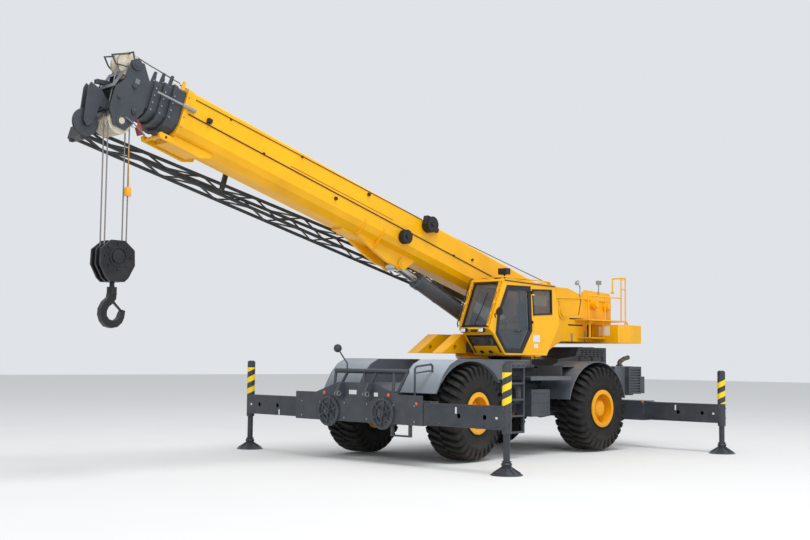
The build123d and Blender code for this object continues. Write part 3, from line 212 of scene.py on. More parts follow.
class Piece:
    """A mesh put together from plates, bars and turned shapes, then fixed to a body."""

    def __init__(self):
        self.mesh = bmesh.new()

    def plate(self, outline, reach):
        """A flat outline drawn out along a vector."""
        near = [self.mesh.verts.new(p) for p in outline]
        far = [self.mesh.verts.new(Vector(p) + Vector(reach)) for p in outline]
        self.mesh.faces.new(near)
        self.mesh.faces.new(list(reversed(far)))
        self.skin(near, far)

    def skin(self, near, far, closed=True):
        """Faces between two rows of corners."""
        count = len(near)
        for k in range(count if closed else count - 1):
            j = (k + 1) % count
            self.mesh.faces.new((near[k], near[j], far[j], far[k]))

    def block(self, low, high, turn=None):
        """A block between two opposite corners, turned about its own centre if asked."""
        centre = (Vector(low) + Vector(high)) / 2
        half = (Vector(high) - Vector(low)) / 2
        signs = ((-1, -1), (1, -1), (1, 1), (-1, 1))
        corners = [Vector((x * half.x, y * half.y, -half.z)) for x, y in signs]
        reach = Vector((0, 0, 2 * half.z))
        if turn is not None:
            corners = [turn @ corner for corner in corners]
            reach = turn @ reach
        self.plate([centre + corner for corner in corners], reach)

    def tube(self, points, radius, sides=10, capped=True):
        """A round bar through points, mitred in its bends."""
        points = [Vector(p) for p in points]
        rows = []
        across = None
        for k, point in enumerate(points):
            before = (point - points[k - 1]).normalized() if k > 0 else (points[1] - point).normalized()
            after = (points[k + 1] - point).normalized() if k < len(points) - 1 else before
            along = (before + after).normalized()
            if across is None:
                across = along.orthogonal().normalized()
            across = (across - along * across.dot(along)).normalized()
            other = along.cross(across)
            stretch = 1 / max(0.5, along.dot(before))
            rows.append([self.mesh.verts.new(point + (across * c + other * s) * radius * stretch)
                         for c, s in around(sides, 1)])
        for near, far in zip(rows, rows[1:]):
            self.skin(near, far)
        if capped:
            self.mesh.faces.new(list(reversed(rows[0])))
            self.mesh.faces.new(rows[-1])

    def rail(self, line, y, radius, sides=8):
        """A round bar whose bends, given in X and Z, all lie in one upright plane."""
        self.tube([(x, y, z) for x, z in line], radius, sides)

    def turned(self, profile, place, sides=32):
        """A closed profile of radius and height, turned about the Z axis of a placing matrix."""
        rows = [[self.mesh.verts.new(place @ Vector((r * c, r * s, h))) for r, h in profile]
                for c, s in around(sides, 1)]
        for near, far in zip(rows, rows[1:] + rows[:1]):
            self.skin(near, far)

    def hoop(self, inner, outer, low, high, place, sides=32):
        """A flat ring between two radii and two heights."""
        self.turned([(inner, low), (outer, low), (outer, high), (inner, high)], place, sides)

    def nuts(self, places, axis, radius, height):
        """Hexagon nuts that stand out along an axis."""
        for place in places:
            self.tube([place, Vector(place) + Vector(axis) * height], radius, 6)

    def make(self, name, finish, bevel=0.0, crease=35):
        """The object, with smooth faces, sharp creases and rounded edges."""
        bmesh.ops.remove_doubles(self.mesh, verts=self.mesh.verts, dist=1e-6)
        bmesh.ops.recalc_face_normals(self.mesh, faces=self.mesh.faces)
        mesh = bpy.data.meshes.new(name)
        self.mesh.to_mesh(mesh)
        self.mesh.free()
        mesh.shade_smooth()
        mesh.set_sharp_from_angle(angle=math.radians(crease))
        mesh.materials.append(finish.material)
        obj = bpy.data.objects.new(name, mesh)
        bpy.context.scene.collection.objects.link(obj)
        if bevel > 0:
            edge = obj.modifiers.new("edges", "BEVEL")
            edge.width = bevel
            edge.segments = 2
            edge.limit_method = "ANGLE"
            edge.angle_limit = math.radians(40)
        return obj

    def fix(self, name, finish, body, bevel=0.0, crease=35):
        """Makes the object and fixes it to a body, unless no body is given."""
        obj = self.make(name, finish, bevel, crease)
        if body is not None:
            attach(obj, body)
        return obj


FLOOR_REACH = 90
FLOOR_THICK = 0.02
floor_paper = Finish("floor_paper")
paper = floor_paper.mix(floor_paper.cloud(0.6), tint("dededd"), tint("d9d9d8"))
floor_paper.show(Base_Color=paper, Roughness=0.9)
floor = Piece()
floor.block((-FLOOR_REACH, -FLOOR_REACH, -FLOOR_THICK), (FLOOR_REACH, FLOOR_REACH, 0))
floor.make("floor", floor_paper)


# Frame, outrigger boxes and front plate
# Deep welded rails and twin boxes of plate, sprayed dark blue-grey after welding. The front
# plate carries bolts, marker lamps, bare name plates and a handrail of bent tube.
FRONT_FACE = 3.972
BOX_HALF = 1.685
RAIL_Y = 1.2


def enamel(name, hue, dirt, roughness=0.34, pattern=None):
    """Sprayed machine enamel: faint mottling, paler edges that are partly rubbed wear and partly painted
    highlight, some dust, and orange peel.
    """
    finish = Finish(name)
    base = tint(hue)
    darker = tuple(part * 0.86 for part in base[:3]) + (1,)
    shade = finish.mix(finish.ramp(finish.cloud(1.7), 0.35, 0.7), base, darker)
    if pattern is not None:
        shade = pattern(finish, shade)
    rounded = finish.rounded(0.008)
    normal = finish.node("ShaderNodeNewGeometry", output="Normal")
    dot = finish.node("ShaderNodeVectorMath", {"operation": "DOT_PRODUCT"}, {0: rounded, 1: normal}, "Value")
    # paler edges: partly rubbed wear, partly painted highlight along them
    edge = finish.ramp(1 - dot, 0.02, 0.22) * finish.ramp(finish.cloud(14.0), 0.46, 0.62)
    shade = finish.mix(edge * 0.35, shade, tint("c9c6bd"))
    dust = finish.ramp(finish.cloud(5.0, 6.0), 0.42, 0.8) * dirt
    shade = finish.mix(dust, shade, tint("8f877a"))
    gloss = roughness + dust * 0.5 + finish.cloud(30.0, 2.0) * 0.08
    peel = finish.bump(finish.cloud(260.0, 1.0), 0.0004, rounded)
    finish.show(Base_Color=shade, Roughness=gloss, Normal=peel)
    return finish.show(Coat_Weight=0.12, Coat_Roughness=0.12, Specular_IOR_Level=0.32)


def mottled(name, scale, first, second, roughness, gloss_scale, spread, **others):
    """A finish between two colours in soft clouds, with an uneven gloss."""
    finish = Finish(name)
    shade = finish.mix(finish.cloud(scale), tint(first), tint(second))
    return finish.show(Base_Color=shade, Roughness=roughness + finish.cloud(gloss_scale) * spread, **others)


def coat(finish, *nodes):
    """Gives CAD nodes their finish."""
    for name in nodes:
        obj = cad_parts[name]
        if not obj.material_slots:
            obj.data.materials.append(None)
        for holder in obj.material_slots:
            holder.material = finish.material


def placed(place, axis, degrees):
    """A placing matrix: at a place, and turned there about one axis."""
    return Matrix.Translation(place) @ Matrix.Rotation(math.radians(degrees), 4, axis)


carrier_paint = enamel("carrier_enamel", "40454c", 0.10)
coat(carrier_paint, "main_frame", "outrigger_boxes")

zinc_and_painted_highlight = mottled("zinc_plate_and_painted_highlight", 40.0, "8d9094", "b9bcbd", 0.42, 60.0, 0.15, Metallic=0.9)
bumper_bolts = Piece()
for side in (-1, 1):
    bolts = [(FRONT_FACE - 0.002, side * y, z) for y, z in ((0.98, 1.05), (1.5, 1.05), (1.5, 0.78),
                                                            (0.30, 1.05), (0.30, 0.78))]
    bumper_bolts.nuts(bolts, (1, 0, 0), 0.016, 0.014)
bumper_bolts.nuts([(x, BOX_HALF - 0.001, 1.09) for x in (3.80, 3.60, 3.85)], (0, 1, 0), 0.014, 0.012)
bumper_bolts.fix("bumper_bolts", zinc_and_painted_highlight, "carrier")

name_plate = mottled("bare_plate", 20.0, "dfe1e0", "cfd2d2", 0.45, 35.0, 0.1)
plates = Piece()
for y, z, half_y, half_z in ((-0.08, 1.255, 0.10, 0.04), (0.53, 1.226, 0.05, 0.035)):
    plates.block((FRONT_FACE, y - half_y, z - half_z), (FRONT_FACE + 0.004, y + half_y, z + half_z))
plates.fix("front_plates", name_plate, "carrier", 0.001)

amber_glass = mottled("amber_lens", 90.0, "e8611c", "c9480f", 0.18, 80.0, 0.1, Coat_Weight=0.6)
BIG_LENS = [(0.001, 0), (0.034, 0), (0.034, 0.016), (0.020, 0.028), (0.001, 0.030)]
SMALL_LENS = [(0.001, 0), (0.03, 0), (0.03, 0.012), (0.001, 0.018)]
lenses = Piece()
lenses.turned(BIG_LENS, placed((FRONT_FACE, 0.854, 1.225), "Y", 90), 20)
lenses.turned(BIG_LENS, placed((FRONT_FACE, -0.854, 1.225), "Y", 90), 20)
lenses.turned(SMALL_LENS, placed((FRONT_FACE, 1.549, 1.095), "Y", 90), 20)
lenses.turned(SMALL_LENS, placed((-2.97, BOX_HALF, 1.00), "X", -90), 20)
lenses.fix("marker_lamps", amber_glass, "carrier")

handrail = Piece()
handrail.rail([(3.66, 1.145), (3.66, 1.70), (3.62, 1.74), (3.24, 1.78), (3.20, 1.75), (3.20, 1.66)],
              RAIL_Y, 0.019, 10)
handrail.rail([(3.66, 1.62), (3.30, 1.66), (3.20, 1.66), (3.16, 1.62)], RAIL_Y, 0.014, 10)
handrail.fix("front_handrail", carrier_paint, "carrier")

TOW_X = 4.077
TOW_Y = 0.3755
TOW_Z = 1.226
# pale zinc rings on both faces of the tow eyes: painted highlight on their rims
tow_eye_highlight_rings = Piece()
for y in (-TOW_Y, TOW_Y):
    for low in (0.026, -0.038):
        tow_eye_highlight_rings.hoop(0.035, 0.052, low, low + 0.012, placed((TOW_X, y, TOW_Z), "X", 90), 28)
tow_eye_highlight_rings.fix("tow_eye_highlight_rims", zinc_and_painted_highlight, "carrier", 0.002)


# Outrigger beams, jacks and floats
# Box beams that slide out of the boxes, with round jack housings welded to their ends and
# striped in yellow. The jack rods are painted steel and stand on round ribbed feet.
JACK_Y = 3.48
# node ending, slot centre, side, underside of the beam
BEAMS = [("front_left", 3.865, 1, 0.730), ("front_right", 3.663, -1, 0.730),
         ("rear_left", -3.138, 1, 0.622), ("rear_right", -3.340, -1, 0.622)]
BEAM_FACE = 0.0902
SEAM_LEVELS = (0.045, 0.34)
STRIPE_PITCH = 0.225
STRIPE_LOW = 0.395
STRIPE_HIGH = 0.94
RIBS = 10
# radius and height of the ring where the rod meets its foot, and of one rib's outline
FOOT_RING = [(0.057, 0.150), (0.082, 0.153), (0.092, 0.167), (0.092, 0.184), (0.082, 0.198), (0.067, 0.203),
             (0.067, 0.210), (0.079, 0.214), (0.079, 0.230), (0.057, 0.234)]
RIB = [(0.058, 0.165), (0.092, 0.135), (0.240, 0.040), (0.240, 0.022), (0.058, 0.090)]
RIB_THICK = 0.012

beam_paint = enamel("beam_enamel", "33383e", 0.08)
coat(beam_paint, *[f"jack_{place}" for place, _, _, _ in BEAMS])


def striped(centre, side, low):
    """Slanting yellow bands round the top of one jack housing."""
    def pattern(finish, shade):
        x, y, z = finish.axes()
        turn = finish.node("ShaderNodeMath", {"operation": "ARCTAN2"}, {0: y - side * JACK_Y, 1: x - centre})
        band = ((z - turn * (STRIPE_PITCH / (2 * math.pi))) % STRIPE_PITCH) < STRIPE_PITCH * 0.5
        reach = (z > low + STRIPE_LOW) * (z < low + STRIPE_HIGH)
        near = abs(y - side * JACK_Y) < 0.1
        return finish.mix(band * reach * near, shade, tint("f4d414"))
    return pattern


for place, centre, side, low in BEAMS:
    stripes = striped(centre, side, low)
    coat(enamel(f"striped_beam_{place}", "3a3f46", 0.08, pattern=stripes), f"beam_{place}")
    face = centre + BEAM_FACE
    tabs = Piece()
    tab_level = 0.285 if side > 0 else 0.062
    for y, z, half_y, half_z in ((2.45, tab_level, 0.018, 0.055), (3.34, 0.19, 0.022, 0.018)):
        tabs.block((face, side * (y - half_y), low + z - half_z),
                   (face + 0.0042, side * (y + half_y), low + z + half_z))
    tabs.fix(f"beam_tabs_{place}", name_plate, f"beam_{place}", 0.001)
    seams = Piece()
    for z in SEAM_LEVELS:
        seams.block((face, side * 1.75, low + z - 0.006), (face + 0.003, side * 3.39, low + z + 0.006))
    for x in (centre - 0.02, centre + 0.02):
        bolts = [(x, side * (JACK_Y + 0.078), low + z) for z in (0.1, 0.3)]
        seams.nuts(bolts, (0, side, 0), 0.012, 0.008)
    seams.fix(f"beam_welds_{place}", beam_paint, f"beam_{place}", 0.002)
    foot = Piece()
    seat = Matrix.Translation((centre, side * JACK_Y, 0))
    foot.turned(FOOT_RING, seat, 28)
    for k in range(RIBS):
        across = Matrix.Rotation(2 * math.pi * k / RIBS, 4, "Z")
        rib = [seat @ across @ Vector((r, -RIB_THICK / 2, z)) for r, z in RIB]
        foot.plate(rib, across.to_3x3() @ Vector((0, RIB_THICK, 0)))
    foot.fix(f"float_ribs_{place}", beam_paint, f"jack_{place}", 0.002)


# Axles, wheels and tyres
# Cast axles and hubs. Pressed rims in yellow, bolted to the hubs with a ring of nuts. The tyres
# are moulded rubber with deep slanting lugs that run over the shoulder.
FRONT_AXLE = 2.470
REAR_AXLE = -1.571
HUB_Z = 0.890
KINGPIN = 1.000
WHEEL_OUT = 0.300
STEER = 7.85
LUGS = 32
# node ending, axle, side, steering in degrees
WHEELS = [("front_left", FRONT_AXLE, 1, STEER), ("front_right", FRONT_AXLE, -1, STEER),
          ("rear_left", REAR_AXLE, 1, 0.0), ("rear_right", REAR_AXLE, -1, 0.0)]
# along one lug: distance from the middle, radius of its face, slant, half width, and how deep it is
# sunk down and inwards
LUG = [(0.004, 0.868, 0.000, 0.036, 0.07, 0.0), (0.110, 0.869, 0.045, 0.041, 0.07, 0.0),
       (0.205, 0.867, 0.088, 0.046, 0.07, 0.0), (0.282, 0.854, 0.118, 0.049, 0.07, 0.02),
       (0.322, 0.822, 0.132, 0.047, 0.03, 0.05), (0.335, 0.760, 0.138, 0.042, 0.0, 0.06),
       (0.3355, 0.690, 0.140, 0.034, 0.0, 0.05), (0.3355, 0.625, 0.138, 0.022, 0.0, 0.03)]
# ring, number, level, radius and height of the hub's nuts
NUT_RINGS = ((0.222, 12, 0.128, 0.017, 0.034), (0.120, 8, 0.262, 0.012, 0.016))
# radius and distance from the middle, outside and inside the tyre's wall
WALL = [(0.345, 0.235), (0.372, 0.286), (0.405, 0.297), (0.420, 0.290), (0.470, 0.312), (0.480, 0.318),
        (0.492, 0.316), (0.580, 0.331), (0.640, 0.334), (0.648, 0.336), (0.656, 0.330), (0.715, 0.316),
        (0.765, 0.296), (0.795, 0.262), (0.806, 0.180), (0.808, 0.060)]
INSIDE = [(0.780, 0.06), (0.770, 0.19), (0.725, 0.252), (0.620, 0.272), (0.400, 0.235)]

axle_iron = enamel("cast_iron_enamel", "2d3136", 0.30, 0.55)
coat(axle_iron, "axles", *[f"knuckle_{wheel[0]}" for wheel in WHEELS])
rim_paint = enamel("rim_enamel", "f3ab0c", 0.05)
coat(rim_paint, *[f"rim_{wheel[0]}" for wheel in WHEELS])

rubber = Finish("tyre_rubber")
x, y, z = rubber.axes()
mould = rubber.cloud(9.0, 5.0)
grey = rubber.mix(rubber.ramp(mould, 0.35, 0.75), tint("191919"), tint("2b2a28"))
grey = rubber.mix(rubber.ramp(0.45 - z, 0.0, 0.45) * mould * 0.35, grey, tint("6a6358"))
grain = rubber.bump(rubber.cloud(120.0, 4.0), 0.002)
rubber.show(Base_Color=grey, Roughness=0.62 + mould * 0.2, Normal=grain, Specular_IOR_Level=0.3)


def wheel_place(axle, side, steer):
    """From a wheel's own axes, with Z outwards along its spindle, to the machine."""
    king = placed((axle, side * KINGPIN, HUB_Z), "Z", steer)
    spindle = placed((0, side * WHEEL_OUT, 0), "Z", 0 if side > 0 else 180)
    return king @ spindle @ Matrix.Rotation(-math.pi / 2, 4, "X")


def lug(tyre, place, turn, hand):
    """One lug: a bar from the middle of the tread, slanting over the shoulder and down the wall."""
    rows = []
    for out, radius, slant, half, down, inward in LUG:
        row = []
        for edge, sunk in ((-1, 0), (1, 0), (1.2, 1), (-1.2, 1)):
            angle = turn + hand * slant + edge * half
            r = radius - sunk * down
            height = hand * (out - sunk * inward)
            corner = Vector((r * math.cos(angle), r * math.sin(angle), height))
            row.append(tyre.mesh.verts.new(place @ corner))
        rows.append(row)
    for near, far in zip(rows, rows[1:]):
        tyre.skin(near, far)
    tyre.mesh.faces.new(rows[0])
    tyre.mesh.faces.new(list(reversed(rows[-1])))


def mirrored(half):
    """The same corners on the other side of the tyre's middle, in reverse."""
    return [(r, -h) for r, h in reversed(half)]


for ending, axle, side, steer in WHEELS:
    place = wheel_place(axle, side, steer)
    tyre = Piece()
    tyre.turned(WALL + mirrored(WALL) + mirrored(INSIDE) + INSIDE, place, 72)
    for k in range(LUGS):
        lug(tyre, place, 2 * math.pi * k / LUGS, 1)
        lug(tyre, place, 2 * math.pi * (k + 0.5) / LUGS, -1)
    tread = tyre.fix(f"tread_{ending}", rubber, f"wheel_{ending}", 0.0, 30)
    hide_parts(f"tyre_{ending}")
    hub = Piece()
    for ring, count, level, radius, height in NUT_RINGS:
        for a, b in around(count, ring):
            hub.tube([place @ Vector((a, b, level)), place @ Vector((a, b, level + height))], radius, 6)
    hub.turned([(0.300, 0.318), (0.352, 0.318), (0.360, 0.324), (0.352, 0.330), (0.300, 0.330)], place, 48)
    hub.tube([place @ Vector((0.27, 0.05, 0.10)), place @ Vector((0.285, 0.05, 0.17))], 0.008, 8)
    hub.fix(f"wheel_nuts_{ending}", rim_paint, f"wheel_{ending}")


# Decks and fenders
# Folded plate over the wheels, in a paler grey than the frame. Flat tops carry rectangular
# patches of gritty paint, and the cut edges of the fenders are trimmed with a folded lip.
DECK_TOP = 1.870
# low X, high X, low |Y|, high |Y|
GRIP_PATCHES = [(0.85, 1.75, 0.70, 1.42), (1.85, 2.80, 0.70, 1.42), (-1.45, -0.75, 0.62, 1.18),
                (-3.20, -2.30, 0.62, 1.18), (-2.20, -1.55, 0.62, 1.18), (-0.60, 0.62, 0.80, 1.44)]


def grit_and_painted_light(finish, shade):
    """Darker grit patches on the flat tops, over painted light that makes the deck paler towards its top."""
    x, y, z = finish.axes()
    across = abs(y)
    patch = None
    for x0, x1, y0, y1 in GRIP_PATCHES:
        inside = (x > x0) * (x < x1) * (across > y0) * (across < y1) * (z > 1.545)
        patch = inside if patch is None else patch + inside
    grain = finish.ramp(finish.cloud(320.0, 2.0), 0.4, 0.6)
    # painted light: faces forward of x 0.74 and inside the deck's outer sides are made paler, most near the
    # top
    pale = (x > 0.74) * (across > 0.575) * (across < 1.4985) * (0.45 + 0.55 * finish.ramp(z, 1.40, 1.80))
    shade = finish.mix(pale, shade, tint("a4adb8"))
    return finish.mix(patch * (0.45 + grain * 0.3), shade, tint("3f4348"))


deck_paint = enamel("deck_enamel", "5a6068", 0.10, 0.40, grit_and_painted_light)
coat(deck_paint, "decks")


def arch_line(axle, first, last, grow):
    """The wheel arch's line, in sixteenths of a half circle from ahead."""
    points = []
    for k in range(first, last + 1):
        turn = math.pi * k / 16
        reach = 0.955 + 0.055 * math.cos(turn) ** 2 + grow
        points.append((axle + reach * math.cos(turn), HUB_Z + reach * math.sin(turn)))
    return points


# X and Z along the edge of the front deck's top
DECK_EDGE = [(0.74, DECK_TOP), (2.85, DECK_TOP), (3.05, 1.776), (3.225, 1.602), (3.42, 1.27)]
fender_lips = Piece()
for side in (-1, 1):
    for axle, first, last in ((FRONT_AXLE, 3, 13), (REAR_AXLE, 1, 15)):
        fender_lips.rail(arch_line(axle, first, last, 0.008), side * 1.502, 0.011)
    fender_lips.rail(DECK_EDGE, side * 1.495, 0.008)
fender_lips.fix("fender_lips", deck_paint, "carrier")


# Engine hood, engine, cooler and exhaust
# A folded hood with louvres and quick latches over the engine at the rear, a finned cooler at
# its left corner, and a plain steel exhaust pipe that leaves over the deck.
HOOD_HALF = 0.470
hood_paint = enamel("hood_enamel", "41464d", 0.10)
coat(hood_paint, "engine_hood", "cooler")
engine_iron = enamel("engine_iron", "2a2c2f", 0.35, 0.6)
coat(engine_iron, "engine_block")

latches = Piece()
for side in (-1, 1):
    near, middle, far = [side * (HOOD_HALF + out) for out in (0, 0.014, 0.022)]
    for x in (-3.24, -2.84, -2.36):
        latches.block((x - 0.022, near, 1.862), (x + 0.022, middle, 1.975))
    latches.block((-2.66, near, 1.93), (-2.54, middle, 1.98))
    latches.block((-2.64, middle, 1.945), (-2.56, far, 1.965))
latches.fix("hood_latches", axle_iron, "carrier", 0.002)

ribs = Piece()
for x in (-2.9, -2.5):
    ribs.block((x, -HOOD_HALF, 2.168), (x + 0.05, HOOD_HALF, 2.180))
ribs.block((-3.40, -0.44, 1.80), (-3.382, 0.44, 2.12))
for k in range(9):
    ribs.block((-3.412, -0.40, 1.83 + 0.03 * k), (-3.40, 0.40, 1.842 + 0.03 * k))
ribs.fix("hood_ribs", hood_paint, "carrier", 0.003)

burnt = Finish("burnt_steel")
heat = burnt.mix(burnt.ramp(burnt.cloud(12.0), 0.35, 0.65), tint("77706a"), tint("56493f"))
burnt.show(Base_Color=heat, Metallic=0.75, Roughness=0.5 + burnt.cloud(30.0) * 0.2)
EXHAUST_Y = 1.15
exhaust = Piece()
bend = [(-2.90, 1.768), (-2.90, 1.84), (-2.93, 1.875), (-3.06, 1.925), (-3.24, 1.962)]
exhaust.tube([(x, EXHAUST_Y, z) for x, z in bend], 0.0475, 20, False)
exhaust.rail([(-2.90, 1.768), (-2.90, 1.80)], EXHAUST_Y, 0.075, 20)
exhaust.fix("exhaust_sleeve", burnt, "carrier")


# Tanks, ladders, ring and boom rest
# Welded tanks and lockers hang from the frame, and a machined steel ring is bolted to its top. The
# ladders are flat bar with folded treads. The boom rests on a round bar with V legs, which also
# holds the view mirror, and two spare floats hang on the front plate.
coat(carrier_paint, "side_tanks", "ladders", "boom_rest", "spare_floats")
bare_steel = Finish("machined_steel")
turned_steel = bare_steel.mix(bare_steel.cloud(25.0, 4.0, (1, 1, 12)), tint("6d7073"), tint("96999c"))
bare_steel.show(Base_Color=turned_steel, Metallic=0.85, Roughness=0.35 + bare_steel.cloud(50.0) * 0.2)
coat(bare_steel, "slew_ring")

tank_bands = Piece()
for x in (-0.25, 0.35, 0.95):
    for low, high in (((-1.444, 0.756), (-0.896, 0.762)), ((-1.446, 0.756), (-1.438, 1.426)),
                      ((-1.444, 1.418), (-0.896, 1.426))):
        tank_bands.block((x, *low), (x + 0.05, *high))
for x in (0.73, 0.90):
    tank_bands.hoop(0.198, 0.205, 0, 0.04, placed((x, 1.15, 1.205), "Y", 90), 36)
for z in (0.86, 1.04, 1.22):
    tank_bands.block((0.06, 1.458, z), (0.59, 1.466, z + 0.008))
tank_bands.tube([(1.05, -1.15, 1.415), (1.05, -1.15, 1.462)], 0.055, 20)
tank_bands.fix("tank_bands", beam_paint, "carrier", 0.002)

ring_bolts = Piece()
ring_bolts.nuts([(x, y, 1.744) for x, y in around(36, 0.802)], (0, 0, 1), 0.018, 0.03)
ring_bolts.fix("ring_bolts", zinc_and_painted_highlight, "carrier")

black_hose_and_shade = mottled("black_hose_and_painted_shade", 35.0, "141516", "232527", 0.5, 50.0, 0.2)
underside = Piece()
for k, y in enumerate((0.64, 0.66, 0.68)):
    underside.tube([(-2.6, y, 1.30 + 0.03 * k), (-1.0, y, 1.33 + 0.03 * k), (-0.7, y, 1.40 + 0.02 * k),
                    (0.65, y, 1.42 + 0.02 * k), (0.95, y, 1.30)], 0.012, 8)
underside.fix("frame_pipes", black_hose_and_shade, "carrier")

FLOAT_FACE = FRONT_FACE + 0.038
FLOAT_Y = 0.72
FLOAT_Z = 0.889
foot_rings = Piece()
for y in (-FLOAT_Y, FLOAT_Y):
    for radius in (0.262, 0.16):
        foot_rings.hoop(radius - 0.012, radius, -0.03, 0.004, placed((FLOAT_FACE, y, FLOAT_Z), "Y", 90), 48)
    foot_rings.nuts([(FLOAT_FACE + 0.046, y, FLOAT_Z)], (1, 0, 0), 0.03, 0.02)
foot_rings.fix("spare_float_rings", carrier_paint, "carrier", 0.002)


# Turntable
# Plate weldment in the machine's yellow: nose, side plates and ears for the boom pin. Hoses and
# valve blocks fill the space beside the cab's foot.
yellow_paint = enamel("machine_yellow", "f8b400", 0.02, 0.32)
coat(yellow_paint, "turntable", "service_platform", "hoist_frame", "boom_foot_pin")
coat(bare_steel, "lift_foot_pin")

valves = Piece()
valves.block((1.20, 0.49, 2.02), (1.46, 0.60, 2.22))
valves.block((0.30, 0.80, 1.86), (0.62, 1.20, 1.945))
for k in range(4):
    valves.tube([(1.24 + 0.06 * k, 0.60, 2.07), (1.24 + 0.06 * k, 0.63, 2.07)], 0.02, 12)
valves.fix("valve_blocks", axle_iron, "upper", 0.004)
hoses = Piece()
for k in range(5):
    y = 0.66 + 0.06 * k
    hoses.tube([(0.95 - 0.04 * k, y, 1.965), (0.98, y + 0.02, 1.915), (0.86, y + 0.05, 1.885),
                (0.60, y, 1.90), (0.45 - 0.03 * k, y - 0.05, 1.955)], 0.017, 8)
for k in range(3):
    hoses.tube([(1.26 + 0.06 * k, 0.625, 2.08), (1.24 + 0.05 * k, 0.66, 2.02), (1.10, 0.70, 1.985),
                (0.90, 0.74, 1.965)], 0.014, 8)
hoses.fix("turntable_hoses", black_hose_and_shade, "upper")


# Counterweight
# One cast block behind the hoists, bolted to the turntable's rear and sprayed yellow. A bare
# plate is fixed to its front face, and two lifting eyes are welded to its top.
coat(yellow_paint, "counterweight")
weight_plates = Piece()
weight_plates.block((-2.610, 0.81, 2.43), (-2.607, 1.09, 2.63))
weight_plates.fix("counterweight_plates", name_plate, "upper", 0.001)
lifting_eyes = Piece()
for y in (1.0, -1.0):
    lifting_eyes.hoop(0.03, 0.055, -0.012, 0.012, placed((-3.4, y, 2.70), "X", 90), 20)
lifting_eyes.fix("lifting_eyes", yellow_paint, "upper")


# Hoists and service platform
# Two hydraulic hoists with wire rope laid in close turns, the flanges of their motors bolted to
# the side plate, and a platform of chequered plate with guard rails of yellow tube.
rope_finish = Finish("wire_rope")
lay = rope_finish.node("ShaderNodeTexWave", {"bands_direction": "DIAGONAL"},
                       {"Vector": rope_finish.place, "Scale": 30.0, "Distortion": 0.5}, 1)
strand = rope_finish.mix(lay, tint("5b5a57"), tint("a3a19b"))
rope_finish.show(Base_Color=strand, Metallic=0.6, Roughness=0.45 + lay * 0.2)
coat(rope_finish, "hoist_falls")
drum_paint = enamel("drum_enamel", "33373c", 0.1, 0.4)
coat(drum_paint, "main_drum", "auxiliary_drum")
ROPE_PITCH = 0.0225
ROPE_TURNS = 42
# body, X, Z, rope layer's radius
for body, x, z, radius in (("main_drum", -2.690, 3.130, 0.205), ("auxiliary_drum", -3.190, 3.090, 0.185)):
    turns = Piece()
    profile = []
    for k in range(ROPE_TURNS):
        middle = -0.46 + ROPE_PITCH * (k + 0.5) - 0.0125
        profile += [(radius - 0.009, middle - 0.01), (radius - 0.002, middle - 0.006), (radius, middle),
                    (radius - 0.002, middle + 0.006)]
    profile += [(0.17, 0.47), (0.17, -0.47)]
    turns.turned(profile, placed((x, 0, z), "X", 90), 40)
    turns.fix(f"rope_on_{body}", rope_finish, body, 0.0, 60)

motors = Piece()
for x, z, y, radius in ((-2.690, 3.130, 0.690, 0.075), (-3.190, 3.090, 0.670, 0.065)):
    motors.tube([(x, y, z), (x, y + 0.03, z)], radius, 20)
    for dx, dz in around(8, 0.09):
        motors.tube([(x + dx, y - 0.002, z + dz), (x + dx, y + 0.012, z + dz)], 0.009, 6)
motors.fix("hoist_motors", yellow_paint, "upper", 0.003)

# the left side plate: a folded edge, a joint, black sheets of painted shade in its slots for hoses, and two
# bars
HOIST_SIDE = 0.6405
side_trim = Piece()
side_trim.rail([(-1.247, 3.211), (-2.240, 3.240)], HOIST_SIDE + 0.006, 0.013)
side_trim.rail([(-1.347, 3.177), (-1.497, 2.837)], HOIST_SIDE + 0.006, 0.013)
side_trim.rail([(-2.402, 3.232), (-3.272, 3.215)], 0.584, 0.015)
side_trim.fix("hoist_side_rails", yellow_paint, "upper")
# black sheets on the side plate: painted shade inside the hose slots
side_slot_shade = Piece()
for x0, x1, z0, z1 in ((-2.26, -1.75, 2.771, 2.799), (-2.24, -1.70, 2.633, 2.661),
                       (-2.57, -2.40, 2.39, 2.665)):
    side_slot_shade.block((x0, HOIST_SIDE, z0), (x1, HOIST_SIDE + 0.003, z1))
for (ax, az), (bx, bz) in (((-2.126, 3.33), (-2.165, 3.18)), ((-2.165, 3.18), (-2.086, 2.873))):
    slot = [(ax - 0.012, az), (ax + 0.012, az), (bx + 0.012, bz), (bx - 0.012, bz)]
    side_slot_shade.plate([(x, HOIST_SIDE, z) for x, z in slot], (0, 0.003, 0))
side_slot_shade.fix("hoist_side_slot_shade", black_hose_and_shade, "upper")
steel_bars = Piece()
for x, low, high in ((-1.827, 2.29, 2.47), (-2.308, 2.295, 2.526)):
    steel_bars.block((x - 0.022, HOIST_SIDE, low), (x + 0.022, HOIST_SIDE + 0.02, high))
steel_bars.fix("hoist_side_bars", zinc_and_painted_highlight, "upper", 0.003)

chequer = Piece()
for k in range(24):
    for row in range(6):
        x = -3.39 + 0.06 * k
        y = 0.665 + 0.058 * row
        lean = math.radians(45 if (k + row) % 2 else -45)
        chequer.block((x - 0.012, y - 0.003, 2.7745), (x + 0.012, y + 0.003, 2.7775),
                      Matrix.Rotation(lean, 3, "Z"))
chequer.fix("platform_chequer", yellow_paint, "upper")

